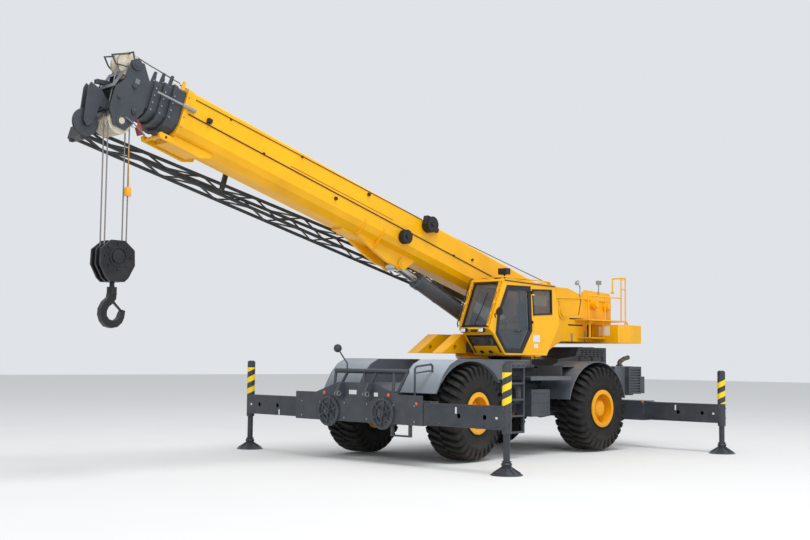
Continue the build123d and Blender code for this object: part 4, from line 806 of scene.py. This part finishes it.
lamps_rear = Piece()
lamps_rear.tube([(-2.93, 0.582, 3.36), (-2.93, 0.582, 3.63)], 0.014, 8)
lamps_rear.block((-2.99, 0.55, 3.58), (-2.87, 0.62, 3.67))
lamps_rear.tube([(-2.18, 0.61, 3.28), (-2.18, 0.61, 3.50), (-2.10, 0.61, 3.56)], 0.012, 8)
lamps_rear.turned([(0.001, -0.012), (0.06, -0.008), (0.06, 0.008), (0.001, 0.03)],
                  placed((-2.08, 0.61, 3.58), "Y", 60), 24)
lamps_rear.fix("hoist_lamp_and_mirror", zinc_and_painted_highlight, "upper", 0.003)


# Cab
# A welded shell in yellow with tinted panes in black rubber seals, a black-edged glass door, guard
# rails on its front pillars with painted shade for their slots, work lamps and a round mirror.
CAB_IN = 0.640
CAB_OUT = 1.406
# outlines of the cab's side, its door and its side panes, in X and Z
SIDE = [(1.425, 3.440), (1.851, 2.456), (1.714, 2.373), (1.371, 1.972), (0.066, 1.972), (-0.366, 2.593),
        (-0.211, 3.396)]
DOOR = [(1.320, 3.310), (0.600, 3.320), (0.545, 2.455), (0.850, 2.020), (1.365, 2.020), (1.655, 2.374),
        (1.600, 2.760)]
REAR_SIDE = [(0.540, 3.269), (-0.094, 3.288), (-0.108, 2.802), (0.500, 2.763)]
RIGHT_SIDE = [(1.280, 3.310), (0.020, 3.300), (-0.120, 2.640), (1.620, 2.520)]
# the two corners of SIDE that each sloping face runs between
WINDSCREEN = (0, 1)
SILL = (2, 3)
BACK = (5, 6)
ROOF = (6, 0)

coat(yellow_paint, "cab_shell")
black_rubber_and_painted_shade = mottled("black_rubber_and_painted_shade", 20.0, "121315", "1d1f22", 0.38, 40.0, 0.15)
coat(black_rubber_and_painted_shade, "cab_door")

tinted = Finish("tinted_glass")
depth = tinted.mix(tinted.cloud(1.5), tint("59646c"), tint("4d575f"))
tinted.show(Base_Color=depth, Roughness=0.03 + tinted.cloud(4.0) * 0.02)
tinted.show(Alpha=0.42 + tinted.cloud(2.0) * 0.06, IOR=1.45)
coat(tinted, "cab_glass", "cab_door_glass")


def inward(outline, amount):
    """An outline moved towards its own inside. It runs anticlockwise in X and Z, seen from +Y."""
    count = len(outline)
    area = sum(outline[k - 1][0] * outline[k][1] - outline[k][0] * outline[k - 1][1] for k in range(count))
    hand = 1 if area > 0 else -1
    moved = []
    for k, corner in enumerate(outline):
        normals = []
        for a, b in ((outline[k - 1], corner), (corner, outline[(k + 1) % count])):
            length = math.hypot(b[0] - a[0], b[1] - a[1])
            normals.append((-(b[1] - a[1]) / length * hand, (b[0] - a[0]) / length * hand))
        nx = (normals[0][0] + normals[1][0]) / 2
        nz = (normals[0][1] + normals[1][1]) / 2
        square = nx * nx + nz * nz
        moved.append((corner[0] + amount * nx / square, corner[1] + amount * nz / square))
    return moved


def ring_plate(piece, outline, wide, y0, y1, grow=0.0):
    """A flat ring round an opening in a side wall."""
    outer = inward(outline, -grow)
    inner = inward(outline, wide)
    rows = []
    for line, y in ((outer, y0), (outer, y1), (inner, y1), (inner, y0)):
        rows.append([piece.mesh.verts.new((px, y, pz)) for px, pz in line])
    for near, far in zip(rows, rows[1:] + rows[:1]):
        piece.skin(near, far)


seals = Piece()
ring_plate(seals, REAR_SIDE, 0.022, CAB_OUT - 0.030, CAB_OUT + 0.006, 0.010)
ring_plate(seals, RIGHT_SIDE, 0.022, CAB_IN - 0.006, CAB_IN + 0.030, 0.010)
ring_plate(seals, DOOR, 0.002, CAB_OUT - 0.038, CAB_OUT + 0.003, 0.012)


def on_face(face, along, deep, y):
    """A place on a sloping face: along it from its first corner, behind it, and across the cab."""
    (ax, az), (bx, bz) = SIDE[face[0]], SIDE[face[1]]
    length = math.hypot(bx - ax, bz - az)
    ux, uz = (bx - ax) / length, (bz - az) / length
    return Vector((ax + ux * along + uz * deep, y, az + uz * along - ux * deep))


def strip(piece, face, low, high, y0, y1, deep, thick):
    """A flat bar on a sloping face, from low to high along it."""
    corners = [on_face(face, a, deep, y) for a, y in ((low, y0), (high, y0), (high, y1), (low, y1))]
    piece.plate(corners, on_face(face, low, deep + thick, y0) - corners[0])


def face_bar(piece, face, places, radius):
    """A round bar through places given as along, deep and across."""
    piece.tube([on_face(face, *place) for place in places], radius, 8)


# face, where its pane starts and ends along it
for face, start, end in ((WINDSCREEN, 0.075, 1.010), (SILL, 0.050, 0.450), (BACK, 0.120, 0.740),
                         (ROOF, 0.400, 1.400)):
    for y0, y1 in ((0.690, 0.735), (1.311, 1.356)):
        strip(seals, face, start - 0.02, end + 0.02, y0, y1, -0.006, 0.022)
    for low, high in ((start - 0.02, start + 0.025), (end - 0.025, end + 0.02)):
        strip(seals, face, low, high, 0.735, 1.311, -0.006, 0.022)
seals.fix("cab_seals", black_rubber_and_painted_shade, "upper", 0.002)

door_trim = Piece()
ring_plate(door_trim, inward(DOOR, 0.043), 0.030, CAB_OUT - 0.014, CAB_OUT + 0.002, 0.012)
door_trim.fix("door_edge", black_rubber_and_painted_shade, "cab_door", 0.002)
door_line = Piece()
inner_door = inward(DOOR, 0.088)
for first in (1, 2):
    door_line.rail(inner_door[first:first + 2], CAB_OUT - 0.034, 0.007)
door_line.fix("door_stay", yellow_paint, "cab_door")
door_bar = Piece()
door_bar.rail([(1.45, 2.615), (0.64, 2.81)], CAB_OUT - 0.048, 0.012)
door_bar.tube([(1.06, CAB_OUT - 0.010, 2.42), (1.06, CAB_OUT + 0.022, 2.42), (0.90, CAB_OUT + 0.022, 2.43),
               (0.90, CAB_OUT - 0.010, 2.43)], 0.009, 8)
door_bar.fix("door_bar_and_handle", black_rubber_and_painted_shade, "cab_door")

PILLARS = (CAB_OUT - 0.030, CAB_IN + 0.030)
guards = Piece()
for y in PILLARS:
    for low, high in ((0.06, 0.20), (0.23, 0.50), (0.53, 1.00)):
        strip(guards, WINDSCREEN, low, high, y - 0.022, y + 0.022, -0.055, 0.012)
    for along in (0.05, 0.215, 0.515, 1.01):
        strip(guards, WINDSCREEN, along - 0.012, along + 0.012, y - 0.02, y + 0.02, -0.055, 0.056)
for y in (0.72, 1.33):
    face_bar(guards, ROOF, ((1.50, -0.05, y), (0.10, -0.06, y), (0.04, -0.02, y)), 0.012)
for along, deep, radius in ((0.06, -0.055, 0.012), (1.50, -0.05, 0.012), (0.80, -0.055, 0.010)):
    face_bar(guards, ROOF, ((along, deep, 0.72), (along, deep, 1.33)), radius)
strip(guards, SILL, 0.300, 0.472, 0.733, 1.313, -0.010, 0.008)
guards.fix("cab_guards", yellow_paint, "upper", 0.002)

# black strips on the pillar guards: painted shade for their slots
slot_shade = Piece()
for y in PILLARS:
    for low, high in ((0.30, 0.48), (0.56, 0.74), (0.78, 0.97), (0.085, 0.101), (0.125, 0.141),
                      (0.165, 0.181)):
        strip(slot_shade, WINDSCREEN, low, high, y - 0.008, y + 0.008, -0.0565, 0.003)
FAR_BAR = CAB_IN - 0.012
face_bar(slot_shade, WINDSCREEN, ((-0.02, -0.030, FAR_BAR), (0.05, -0.075, FAR_BAR), (0.98, -0.075, FAR_BAR),
                             (1.04, -0.030, FAR_BAR)), 0.011)
for y in (0.80, 1.246):
    slot_shade.block((1.845, y - 0.062, 2.392), (1.908, y + 0.062, 2.478))
slot_shade.fix("cab_slot_shade_bar_and_lamp_boxes", black_rubber_and_painted_shade, "upper", 0.001)

rain_strips = Piece()
rain_strips.rail([(1.40, 3.41), (0.62, 3.385), (-0.19, 3.365)], CAB_OUT + 0.006, 0.010)
face_bar(rain_strips, WINDSCREEN, ((0.08, -0.012, CAB_OUT - 0.07), (0.98, -0.012, CAB_OUT - 0.07)), 0.009)
face_bar(rain_strips, WINDSCREEN, ((1.00, -0.02, 1.02), (0.62, -0.03, 1.10), (0.30, -0.02, 1.12)), 0.009)
rain_strips.block((1.835, 0.98, 2.40), (1.90, 1.08, 2.45))
rain_strips.fix("cab_strips_and_wiper", black_rubber_and_painted_shade, "upper")

lamp_glass = mottled("lamp_glass", 60.0, "f4f6f7", "cfd5da", 0.15, 50.0, 0.1, Coat_Weight=0.5)
for name, y in (("front_lamp_left", 1.246), ("front_lamp_right", 0.800)):
    front_lamp = Piece()
    front_lamp.block((1.900, y - 0.05, 2.402), (1.925, y + 0.05, 2.468))
    front_lamp.fix(name, lamp_glass, "upper", 0.008)
roof_lamp = Piece()
roof_lamp.block((1.10, 1.10, 3.54), (1.23, 1.31, 3.66))
for k in range(5):
    roof_lamp.block((1.23, 1.115 + 0.038 * k, 3.555), (1.236, 1.140 + 0.038 * k, 3.645))
roof_lamp.tube([(1.15, 1.20, 3.43), (1.15, 1.20, 3.55)], 0.018, 10)
roof_lamp.block((0.95, 0.86, 3.44), (1.05, 0.96, 3.50))
roof_lamp.fix("roof_work_lamp", black_rubber_and_painted_shade, "upper", 0.006)

mirror = Piece()
mirror.turned([(0.001, -0.03), (0.062, -0.02), (0.086, 0.0), (0.090, 0.016), (0.082, 0.024), (0.001, 0.024)],
              placed((1.70, 1.545, 2.79), "Y", 75), 32)
mirror.tube([(1.70, 1.49, 2.79), (1.70, 1.42, 2.74), (1.66, 1.40, 2.68)], 0.011, 10)
mirror.fix("cab_mirror", black_rubber_and_painted_shade, "upper")

labels = Piece()
for x0, x1, z0, z1 in ((0.29, 0.50, 2.235, 2.375), (0.351, 0.475, 2.118, 2.198)):
    labels.block((x0, CAB_OUT, z0), (x1, CAB_OUT + 0.002, z1))
labels.fix("cab_label_plates", name_plate, "upper", 0.0008)


# Seat and controls
# A sprung seat with stitched fabric cushions on a steel box, armrests with levers, a column
# with its wheel, and a dark panel under the windscreen.
seat_fabric = Finish("seat_fabric")
weave = seat_fabric.node("ShaderNodeTexWave", {"wave_type": "BANDS"},
                         {"Vector": seat_fabric.place, "Scale": 160.0, "Distortion": 2.0}, 1)
cloth = seat_fabric.mix(weave * 0.6, tint("26282b"), tint("3d4044"))
seat_fabric.show(Base_Color=cloth, Roughness=0.85 + weave * 0.1, Normal=seat_fabric.bump(weave, 0.0008))
seat_fabric.show(Sheen_Weight=0.3)


def cushion(name, centre, half, lean, seams):
    """A stuffed cushion: crowned faces, pulled-in corners and sewn channels across it."""
    shape = Piece()
    bmesh.ops.create_cube(shape.mesh, size=2.0)
    bmesh.ops.subdivide_edges(shape.mesh, edges=shape.mesh.edges, cuts=19, use_grid_fill=True)
    turn = Matrix.Rotation(lean, 3, "Y")
    for vertex in shape.mesh.verts:
        u, v, w = vertex.co
        grow = (abs(u) ** 6 + abs(v) ** 6 + abs(w) ** 6) ** (-1 / 6)
        crown = 1 + 0.16 * (1 - u * u) * (1 - v * v)
        groove = 1 - 0.10 * sum(math.exp(-((u - s) / 0.05) ** 2) for s in seams) if w > 0 else 1
        point = Vector((u * grow * half[0], v * grow * half[1], w * grow * half[2] * crown * groove))
        vertex.co = Vector(centre) + turn @ point
    obj = shape.fix(name, seat_fabric, "upper", 0.0, 60)
    return obj


seat = cushion("seat_cushion", (0.43, 1.0, 2.37), (0.27, 0.22, 0.065), 0.0, (-0.35, 0.35))
cushion("seat_back", (0.19, 1.0, 2.73), (0.32, 0.20, 0.065), math.radians(-80), (-0.3, 0.3))
cushion("seat_headrest", (0.10, 1.0, 3.10), (0.09, 0.13, 0.05), math.radians(-80), ())
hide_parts("operator_station")

controls = Piece()
controls.block((0.20, 0.84, 2.012), (0.62, 1.16, 2.30))
for y in (0.74, 1.26):
    controls.block((0.20, y - 0.035, 2.44), (0.60, y + 0.035, 2.50))
    controls.block((0.20, y - 0.03, 2.30), (0.28, y + 0.03, 2.45))
    controls.tube([(0.54, y, 2.49), (0.55, y, 2.58)], 0.009, 8)
    controls.tube([(0.55, y, 2.56), (0.555, y, 2.635)], 0.022, 12)
controls.tube([(1.24, 1.01, 2.012), (1.13, 1.01, 2.60)], 0.034, 16)
controls.block((1.17, 0.95, 2.012), (1.30, 1.07, 2.04))
wheel_tilt = placed((1.115, 1.01, 2.62), "Y", -12)
controls.turned([(0.18 + a, b) for a, b in around(8, 0.015)], wheel_tilt, 40)
SPOKE_STEP = 2.094
for k in range(3):
    spoke = wheel_tilt @ Vector((0.178 * math.cos(k * SPOKE_STEP), 0.178 * math.sin(k * SPOKE_STEP), 0))
    controls.tube([wheel_tilt @ Vector((0, 0, -0.01)), spoke], 0.012, 8)
controls.block((1.34, 0.71, 2.31), (1.47, 1.33, 2.47))
for y in (0.88, 1.13):
    controls.block((1.20, y - 0.018, 2.012), (1.34, y + 0.018, 2.36))
for y in (0.90, 1.12):
    pedal_tilt = Matrix.Rotation(math.radians(-40), 3, "Y")
    controls.block((1.42, y - 0.04, 2.02), (1.50, y + 0.04, 2.03), pedal_tilt)
controls.fix("seat_base_and_controls", black_rubber_and_painted_shade, "upper", 0.005)

blind_cloth = Finish("blind_cloth")
fold = blind_cloth.node("ShaderNodeTexWave", {"bands_direction": "Z"},
                        {"Vector": blind_cloth.place, "Scale": 14.0}, 1)
# painted shade: the cloth is darker in bands along its folds
beige_with_painted_fold_shade = blind_cloth.mix(fold * 0.4, tint("fbe3a4"), tint("e6cc8c"))
blind_cloth.show(Base_Color=beige_with_painted_fold_shade, Roughness=0.8 + fold * 0.1, Normal=blind_cloth.bump(fold, 0.002))
blind = Piece()
blind.block((0.02, CAB_OUT - 0.036, 2.96), (0.50, CAB_OUT - 0.031, 3.17))
blind.fix("window_blind", blind_cloth, "upper", 0.001)


# Lift cylinder
# A thick steel barrel in dark grey with a chromed rod. Two oil pipes run along its top, held by
# steel bands, and both its eyes turn on pins.
LIFT_FOOT = Vector((-0.5, 0, 2.11))
PIVOT = Vector((-1.519, 0, 2.931))
BOOM_ANGLE = math.radians(16.0)
barrel_paint = enamel("barrel_enamel", "4f555d", 0.05, 0.32)
coat(barrel_paint, "lift_barrel")
chrome = Finish("chrome_rod")
sheen = chrome.mix(chrome.cloud(8.0, 2.0), tint("c9cbcd"), tint("aeb0b2"))
chrome.show(Base_Color=sheen, Metallic=1.0, Roughness=0.12 + chrome.cloud(20.0) * 0.06)
coat(chrome, "lift_rod")


def on_boom(x, y, z):
    """A place on the machine from the boom's own axes."""
    c, s = math.cos(BOOM_ANGLE), math.sin(BOOM_ANGLE)
    return Vector((PIVOT.x + x * c - z * s, y, PIVOT.z + x * s + z * c))


lift_eye = on_boom(4.56, 0, -0.53)
lift_along = (lift_eye - LIFT_FOOT).normalized()
lift_across = Vector((-lift_along.z, 0, lift_along.x))


def on_barrel(along, out, y):
    """A place beside the barrel: along it from its foot, out over its top, and across."""
    return LIFT_FOOT + lift_along * along + lift_across * out + Vector((0, y, 0))


pipes = Piece()
for y in (0.06, -0.06):
    pipes.tube([on_barrel(0.36, 0.13, y), on_barrel(0.36, 0.16, y), on_barrel(3.0, 0.165, y),
                on_barrel(3.0, 0.135, y)], 0.014, 8)
lift_turn = (lift_eye - LIFT_FOOT).to_track_quat("Z", "Y").to_matrix().to_4x4()
for along in (0.7, 1.6, 2.5, 3.1):
    band = Matrix.Translation(on_barrel(along, 0, 0)) @ lift_turn
    pipes.hoop(0.149, 0.156, -0.02, 0.02, band, 36)
pipes.fix("lift_cylinder_pipes", barrel_paint, "lift_barrel")


# Boom base section
# A welded box of bent plate in yellow. Along its left side run a cable line, a cable from the
# upper reel, guide eyes and a thin painted line. Its front end is closed by a bolted collar, with
# a bracket welded below it.
SIDE_Y = 0.379
coat(yellow_paint, "boom_base")


def boom_bar(piece, places, radius, sides=8):
    """A round bar through places given in the boom's axes."""
    piece.tube([on_boom(*place) for place in places], radius, sides)


def side_strip(piece, start, end, high, thick):
    """A flat strip on the boom's left side, from one end of its lower edge to the other."""
    near, far = [on_boom(x, SIDE_Y, z) for x, z in (start, end)]
    rise = on_boom(0, 0, high) - on_boom(0, 0, 0)
    piece.plate([near, far, far + rise, near + rise], (0, thick, 0))


def boom_block(piece, x, z, half, y0, y1):
    """A square block in line with the boom."""
    side = Vector((half, 0, half))
    piece.block(on_boom(x, y0, z) - side, on_boom(x, y1, z) + side, Matrix.Rotation(-BOOM_ANGLE, 3, "Y"))


boom_trim = Piece()
side_strip(boom_trim, (0.6, 0.036), (10.0, 0.026), 0.018, 0.012)
side_strip(boom_trim, (4.45, 0.3945), (9.93, 0.3105), 0.011, 0.012)
for x, z, half in ((5.92, 0.32, 0.022), (6.66, -0.06, 0.022), (7.6, 0.34, 0.016), (2.85, 0.16, 0.02),
                   (9.60, 0.09, 0.035), (9.2, 0.31, 0.014), (3.4, 0.05, 0.016), (8.4, 0.05, 0.016)):
    boom_block(boom_trim, x, z, half, SIDE_Y, SIDE_Y + 0.03)
boom_trim.fix("boom_cable_line", black_hose_and_shade, "boom", 0.001)

thin_line = mottled("rust_red_line", 12.0, "8a3b1c", "74311a", 0.4, 20.0, 0.1)
stripe = Piece()
side_strip(stripe, (5.18, 0.100), (7.79, 0.080), 0.012, 0.002)
stripe.fix("boom_thin_line", thin_line, "boom")

# the collar's bolts, and the grey arm that reaches from it along the sections
ARM_JOINT = (10.16, SIDE_Y + 0.040, 0.116)
collar_fittings = Piece()
boom_bar(collar_fittings, ((9.90, SIDE_Y + 0.036, 0.122), ARM_JOINT), 0.030, 14)
boom_bar(collar_fittings, (ARM_JOINT, (10.65, SIDE_Y + 0.042, 0.105)), 0.017, 12)
boom_bar(collar_fittings, ((9.96, SIDE_Y - 0.005, 0.121), (9.96, SIDE_Y + 0.040, 0.121)), 0.022, 10)
for side in (-1, 1):
    spots = [on_boom(10.07, side * (SIDE_Y + 0.014), z) for z in (-0.22, -0.05, 0.12, 0.29)]
    collar_fittings.nuts(spots, (0, side, 0), 0.016, 0.014)
collar_fittings.fix("collar_bolts", zinc_and_painted_highlight, "boom", 0.002)

BRACKET = [(9.30, -0.345), (10.04, -0.350), (10.10, -0.390), (10.31, -0.395), (10.34, -0.43), (10.30, -0.49),
           (9.49, -0.50), (9.30, -0.42)]
bracket = Piece()
for y in (0.215, -0.265):
    bracket.plate([on_boom(x, y, z) for x, z in BRACKET], (0, 0.05, 0))
boom_bar(bracket, ((10.26, -0.215, -0.445), (10.26, 0.215, -0.445)), 0.03, 14)
bracket.fix("boom_lower_bracket", yellow_paint, "boom", 0.004)
# black discs on the bracket's plates: painted shade for its pin holes
hole_shade_discs = Piece()
for y in (0.2665, -0.2665):
    hole_shade_discs.hoop(0.001, 0.022, -0.001, 0.001, placed(on_boom(10.20, y, -0.445), "X", 90), 20)
hole_shade_discs.fix("boom_bracket_hole_shade", black_rubber_and_painted_shade, "boom")

weld = Piece()
for x in (2.2, 5.3, 7.4, 9.3):
    for y in (-SIDE_Y, SIDE_Y):
        boom_bar(weld, ((x, y, -0.20), (x, y, 0.39)), 0.004, 6)
weld.fix("boom_seams", yellow_paint, "boom")


# Cable reels
# Two spring reels on the boom's left side that pay out the boom's cables as it extends: black
# finned drums with a domed cover each.
coat(black_rubber_and_painted_shade, "boom_reels")
reel_fins = Piece()
for x, z, radius, near, far in ((4.84, -0.105, 0.135, 0.40, 0.50), (4.29, 0.353, 0.155, 0.40, 0.54)):
    centre = on_boom(x, 0, z)
    for k in range(4):
        y = near + (far - near) * k / 3
        reel_fins.hoop(radius - 0.04, radius, y - 0.004, y + 0.004, placed(centre, "X", -90))
    for a, b in around(10, radius - 0.035):
        reel_fins.tube([centre + Vector((a, y, b)) for y in (near, far + 0.012)], 0.010, 6)
reel_fins.fix("reel_fins", black_rubber_and_painted_shade, "boom")


# Inner boom sections and head
# Four dark sections run inside each other on wear pads. The head is welded from plate and holds
# the rope sheaves of cast nylon on steel shafts, with retaining rods.
section_paint = enamel("section_enamel", "3c4148", 0.05, 0.36)
coat(section_paint, "boom_section_2", "boom_section_3", "boom_section_4", "boom_tip_section")
nylon = Finish("cast_nylon")
cream = nylon.mix(nylon.ramp(nylon.cloud(10.0, 4.0), 0.3, 0.7), tint("d8cfbb"), tint("b8ae98"))
nylon.show(Base_Color=cream, Roughness=0.45 + nylon.cloud(30.0) * 0.15, Subsurface_Weight=0.05)
coat(nylon, "head_sheaves", "idler_sheaves")
coat(section_paint, "nose_sheave")

# body, collar front, half width there, top there
COLLARS = [("boom_section_2", 10.347, 0.345, 0.386), ("boom_section_3", 10.505, 0.311, 0.352),
           ("boom_section_4", 10.655, 0.277, 0.318)]
for body, front, half, top in COLLARS:
    collar_bolts = Piece()
    for side in (-1, 1):
        spots = [on_boom(front - 0.035, side * (half + 0.015), z) for z in (-0.16, -0.04, 0.08, 0.20)]
        collar_bolts.nuts(spots, (0, side, 0), 0.014, 0.016)
        lug_place = (front - 0.035, side * half * 0.6)
        boom_bar(collar_bolts, ((*lug_place, top + 0.016), (*lug_place, top + 0.046)), 0.02)
    collar_bolts.fix(f"pad_bolts_{body}", zinc_and_painted_highlight, body)

HEAD = (11.010, -0.529)
# X, Z and radius of the shaft ends
SHAFTS = ((11.03, 0.42, 0.09), (10.96, 0.08, 0.040), (10.85, -0.30, 0.05), (11.16, -0.20, 0.03))
# the rod that keeps the rope on the upper sheaves
RETAINER = ((11.06, 0.236, 0.44), (11.14, 0.236, 0.585), (11.14, 0.11, 0.585), (11.40, 0.11, 0.434),
            (11.30, 0.11, 0.33), (11.12, 0.236, 0.33))


def head_arc(radius, y):
    """A row of corners along an arc round the lower sheaves."""
    turns = [math.radians(-4 + 9 * k) for k in range(11)]
    places = [on_boom(HEAD[0] + radius * math.cos(t), y, HEAD[1] + radius * math.sin(t)) for t in turns]
    return [head_fittings.mesh.verts.new(place) for place in places]


head_fittings = Piece()
for side in (-1, 1):
    for x, z, radius in SHAFTS:
        boom_bar(head_fittings, ((x, side * 0.250, z), (x, side * 0.275, z)), radius, 20)
        head_fittings.nuts([on_boom(x, side * 0.275, z)], (0, side, 0), radius * 0.55, 0.010)
    boom_bar(head_fittings, [(x, side * y, z) for x, y, z in RETAINER], 0.012)
for x, z in ((11.24, -0.40), (10.86, -0.55)):
    boom_bar(head_fittings, ((x, -0.24, z), (x, 0.24, z)), 0.016, 10)
for y0, y1 in ((0.135, 0.223), (-0.223, 0.055)):
    rows = [head_arc(0.240, y0), head_arc(0.240, y1), head_arc(0.228, y1), head_arc(0.228, y0)]
    for near, far in zip(rows, rows[1:] + rows[:1]):
        head_fittings.skin(near, far, False)
    for end in (0, -1):
        head_fittings.mesh.faces.new([row[end] for row in rows])
for y in (-0.10, -0.16):
    side = Vector((0, 0.014, 0.014))
    head_fittings.block(on_boom(11.14, y, 0.07) - side, on_boom(11.42, y, 0.03) + side)
boom_bar(head_fittings, ((11.28, -0.19, 0.06), (11.33, -0.19, -0.16)), 0.012)
head_fittings.fix("head_fittings", section_paint, "boom_tip", 0.002)

# across the head's open front: a plate with a window, bolted between the side plates
FRAME_FOOT = (11.285, -0.060)
FRAME_TOP = (11.190, 0.250)


def on_frame(y, up_share, deep):
    """A place on the head's front plate: across, up it, and behind its face."""
    x = FRAME_FOOT[0] + (FRAME_TOP[0] - FRAME_FOOT[0]) * up_share
    z = FRAME_FOOT[1] + (FRAME_TOP[1] - FRAME_FOOT[1]) * up_share
    return on_boom(x - deep, y, z)


front_frame = Piece()
for y0, y1, low, high in ((-0.224, -0.130, 0, 1), (0.130, 0.224, 0, 1), (-0.130, 0.130, 0, 0.22),
                          (-0.130, 0.130, 0.78, 1)):
    face = [on_frame(y, share, 0) for y, share in ((y0, low), (y1, low), (y1, high), (y0, high))]
    front_frame.plate(face, on_frame(0, 0, 0.014) - on_frame(0, 0, 0))
boom_block(front_frame, 10.94, 0.17, 0.04, 0.250, 0.262)
boom_bar(front_frame, ((10.97, 0.262, -0.45), (10.80, 0.285, -0.50), (10.58, 0.285, -0.59)), 0.014)
head_grey = enamel("head_grey_enamel", "6b7178", 0.04, 0.38)
front_frame.fix("head_front_plate", head_grey, "boom_tip", 0.002)

pin_red = mottled("hook_red", 20.0, "a33a2c", "7c2c22", 0.45, 30.0, 0.2)
lock_pin = Piece()
pin_half = Vector((0.04, 0, 0.09))
lock_pin.block(on_boom(10.68, 0.20, -0.53) - pin_half, on_boom(10.68, 0.28, -0.53) + pin_half,
               Matrix.Rotation(math.radians(20), 3, "Y"))
boom_bar(lock_pin, ((10.68, 0.24, -0.47), (10.76, 0.24, -0.40)), 0.018, 10)
lock_pin.fix("tip_lock_pin", pin_red, "boom_tip", 0.006)
pin_tag = Piece()
boom_block(pin_tag, 10.79, -0.50, 0.035, 0.20, 0.29)
pin_tag.fix("tip_lock_tag", name_plate, "boom_tip", 0.006)


# Lattice extension
# A tapering frame of welded tube in near-black enamel, stowed on brackets along the boom's right
# side. Round bosses at its corners take the pins that join it to the head.
lattice_paint = enamel("lattice_enamel", "2f3337", 0.10, 0.42)
coat(lattice_paint, "lattice_extension")
gussets = Piece()
for x, z in ((2.42, -0.345), (11.06, -0.70)):
    for y in (-0.64, -0.99):
        spot = on_boom(x, y, z)
        gussets.tube([spot, spot + Vector((0.06, 0, 0))], 0.045, 12)
gussets.fix("lattice_ends", lattice_paint, "boom")


# Ropes
# Steel wire rope. The hoist rope leaves the drum, lies just over the boom's top between guides,
# turns round the idler and head sheaves and falls to the hook block.
ROPE_R = 0.011
# the free stretch from the drum to the boom, in two straight parts that meet about a third of the
# way along and are fixed to no body
drum_top = Vector((-2.66, 0.10, 3.335))
boom_guide = on_boom(0.25, 0.08, 0.655)
halfway = drum_top.lerp(boom_guide, 0.36)
for name, first, last, near, far in (("rope_from_hoist", drum_top, halfway, "upper", "boom_foot_pin"),
                                     ("rope_to_boom", halfway, boom_guide, "boom_foot_pin", "boom")):
    free_rope = Piece()
    free_rope.tube([first.lerp(last, k / 8) for k in range(9)], ROPE_R, 8)
    stretch = free_rope.fix(name, rope_finish, None)
    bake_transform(stretch)
base_rope = Piece()
boom_bar(base_rope, ((-0.05, 0.08, 0.665), (4.8, 0.06, 0.475), (8.17, 0.06, 0.475), (10.10, 0.06, 0.56)),
         ROPE_R)
base_rope.fix("rope_on_boom_base", rope_finish, "boom")
for body, front, half, top in COLLARS:
    over = Piece()
    rise = 0.04 * (front - 10.1)
    boom_bar(over, ((front - 0.24, 0.06, 0.575 + rise), (front, 0.06, 0.58 + rise)), ROPE_R)
    over.fix(f"rope_on_{body}", rope_finish, body)
IDLER = (11.080, 0.426)
wrap = [(10.66, 0.06, 0.60)]
for k in range(9):
    turn = math.radians(95 - 11 * k)
    wrap.append((IDLER[0] + 0.188 * math.cos(turn), 0.088, IDLER[1] + 0.188 * math.sin(turn)))
wrap.append((HEAD[0] + 0.19, 0.10, HEAD[1] + 0.05))
tip_rope = Piece()
boom_bar(tip_rope, wrap, ROPE_R)
tip_rope.fix("rope_on_boom_head", rope_finish, "boom_tip")

rope_guides = Piece()
for x in (4.8, 8.17):
    boom_bar(rope_guides, ((x, -0.10, 0.455), (x, 0.16, 0.455)), 0.016, 10)
    for y in (-0.10, 0.15):
        boom_bar(rope_guides, ((x, y, 0.418), (x, y, 0.47)), 0.010)
rope_guides.fix("rope_guides", zinc_and_painted_highlight, "boom")


# Hook block and hook
# Two cast cheek plates bolted together over their sheaves, all painted near-black, and a forged
# hook with a sprung latch that swivels below them. A yellow weight rides on one rope to stop the
# hoist.
HANG_X = 9.2103
BLOCK_Z = 3.370
WEIGHT_X = HANG_X - 0.188
block_paint = enamel("hook_block_enamel", "191c20", 0.05, 0.36)
coat(block_paint, "hook_block", "hook")
block_fittings = Piece()
for side in (-1, 1):
    y = 0.12 + side * 0.150
    facing = placed((HANG_X, y, BLOCK_Z), "X", -90 * side)
    block_fittings.turned([(0.001, 0), (0.10, 0), (0.10, 0.02), (0.06, 0.03), (0.001, 0.03)], facing, 28)
    bolts = [(HANG_X + a, y, BLOCK_Z + b * 0.9) for a, b in around(8, 0.22)]
    block_fittings.nuts(bolts, (0, side, 0), 0.018, 0.018)
    block_fittings.hoop(0.135, 0.15, 0, 0.014, facing, 36)
block_fittings.fix("block_fittings", block_paint, "hook_block", 0.003)

weight_paint = enamel("weight_enamel", "f2a51e", 0.1)
rope_weight = Piece()
rope_weight.turned([(0.014, 0), (0.05, 0), (0.055, 0.02), (0.055, 0.11), (0.045, 0.14), (0.014, 0.14)],
                   Matrix.Translation((WEIGHT_X, 0.18, 4.32)), 24)
rope_weight.tube([(WEIGHT_X, 0.215, 4.46), (HANG_X - 0.17, 0.20, 5.10)], 0.005, 6)
rope_weight.fix("rope_weight", weight_paint, "hook_block")
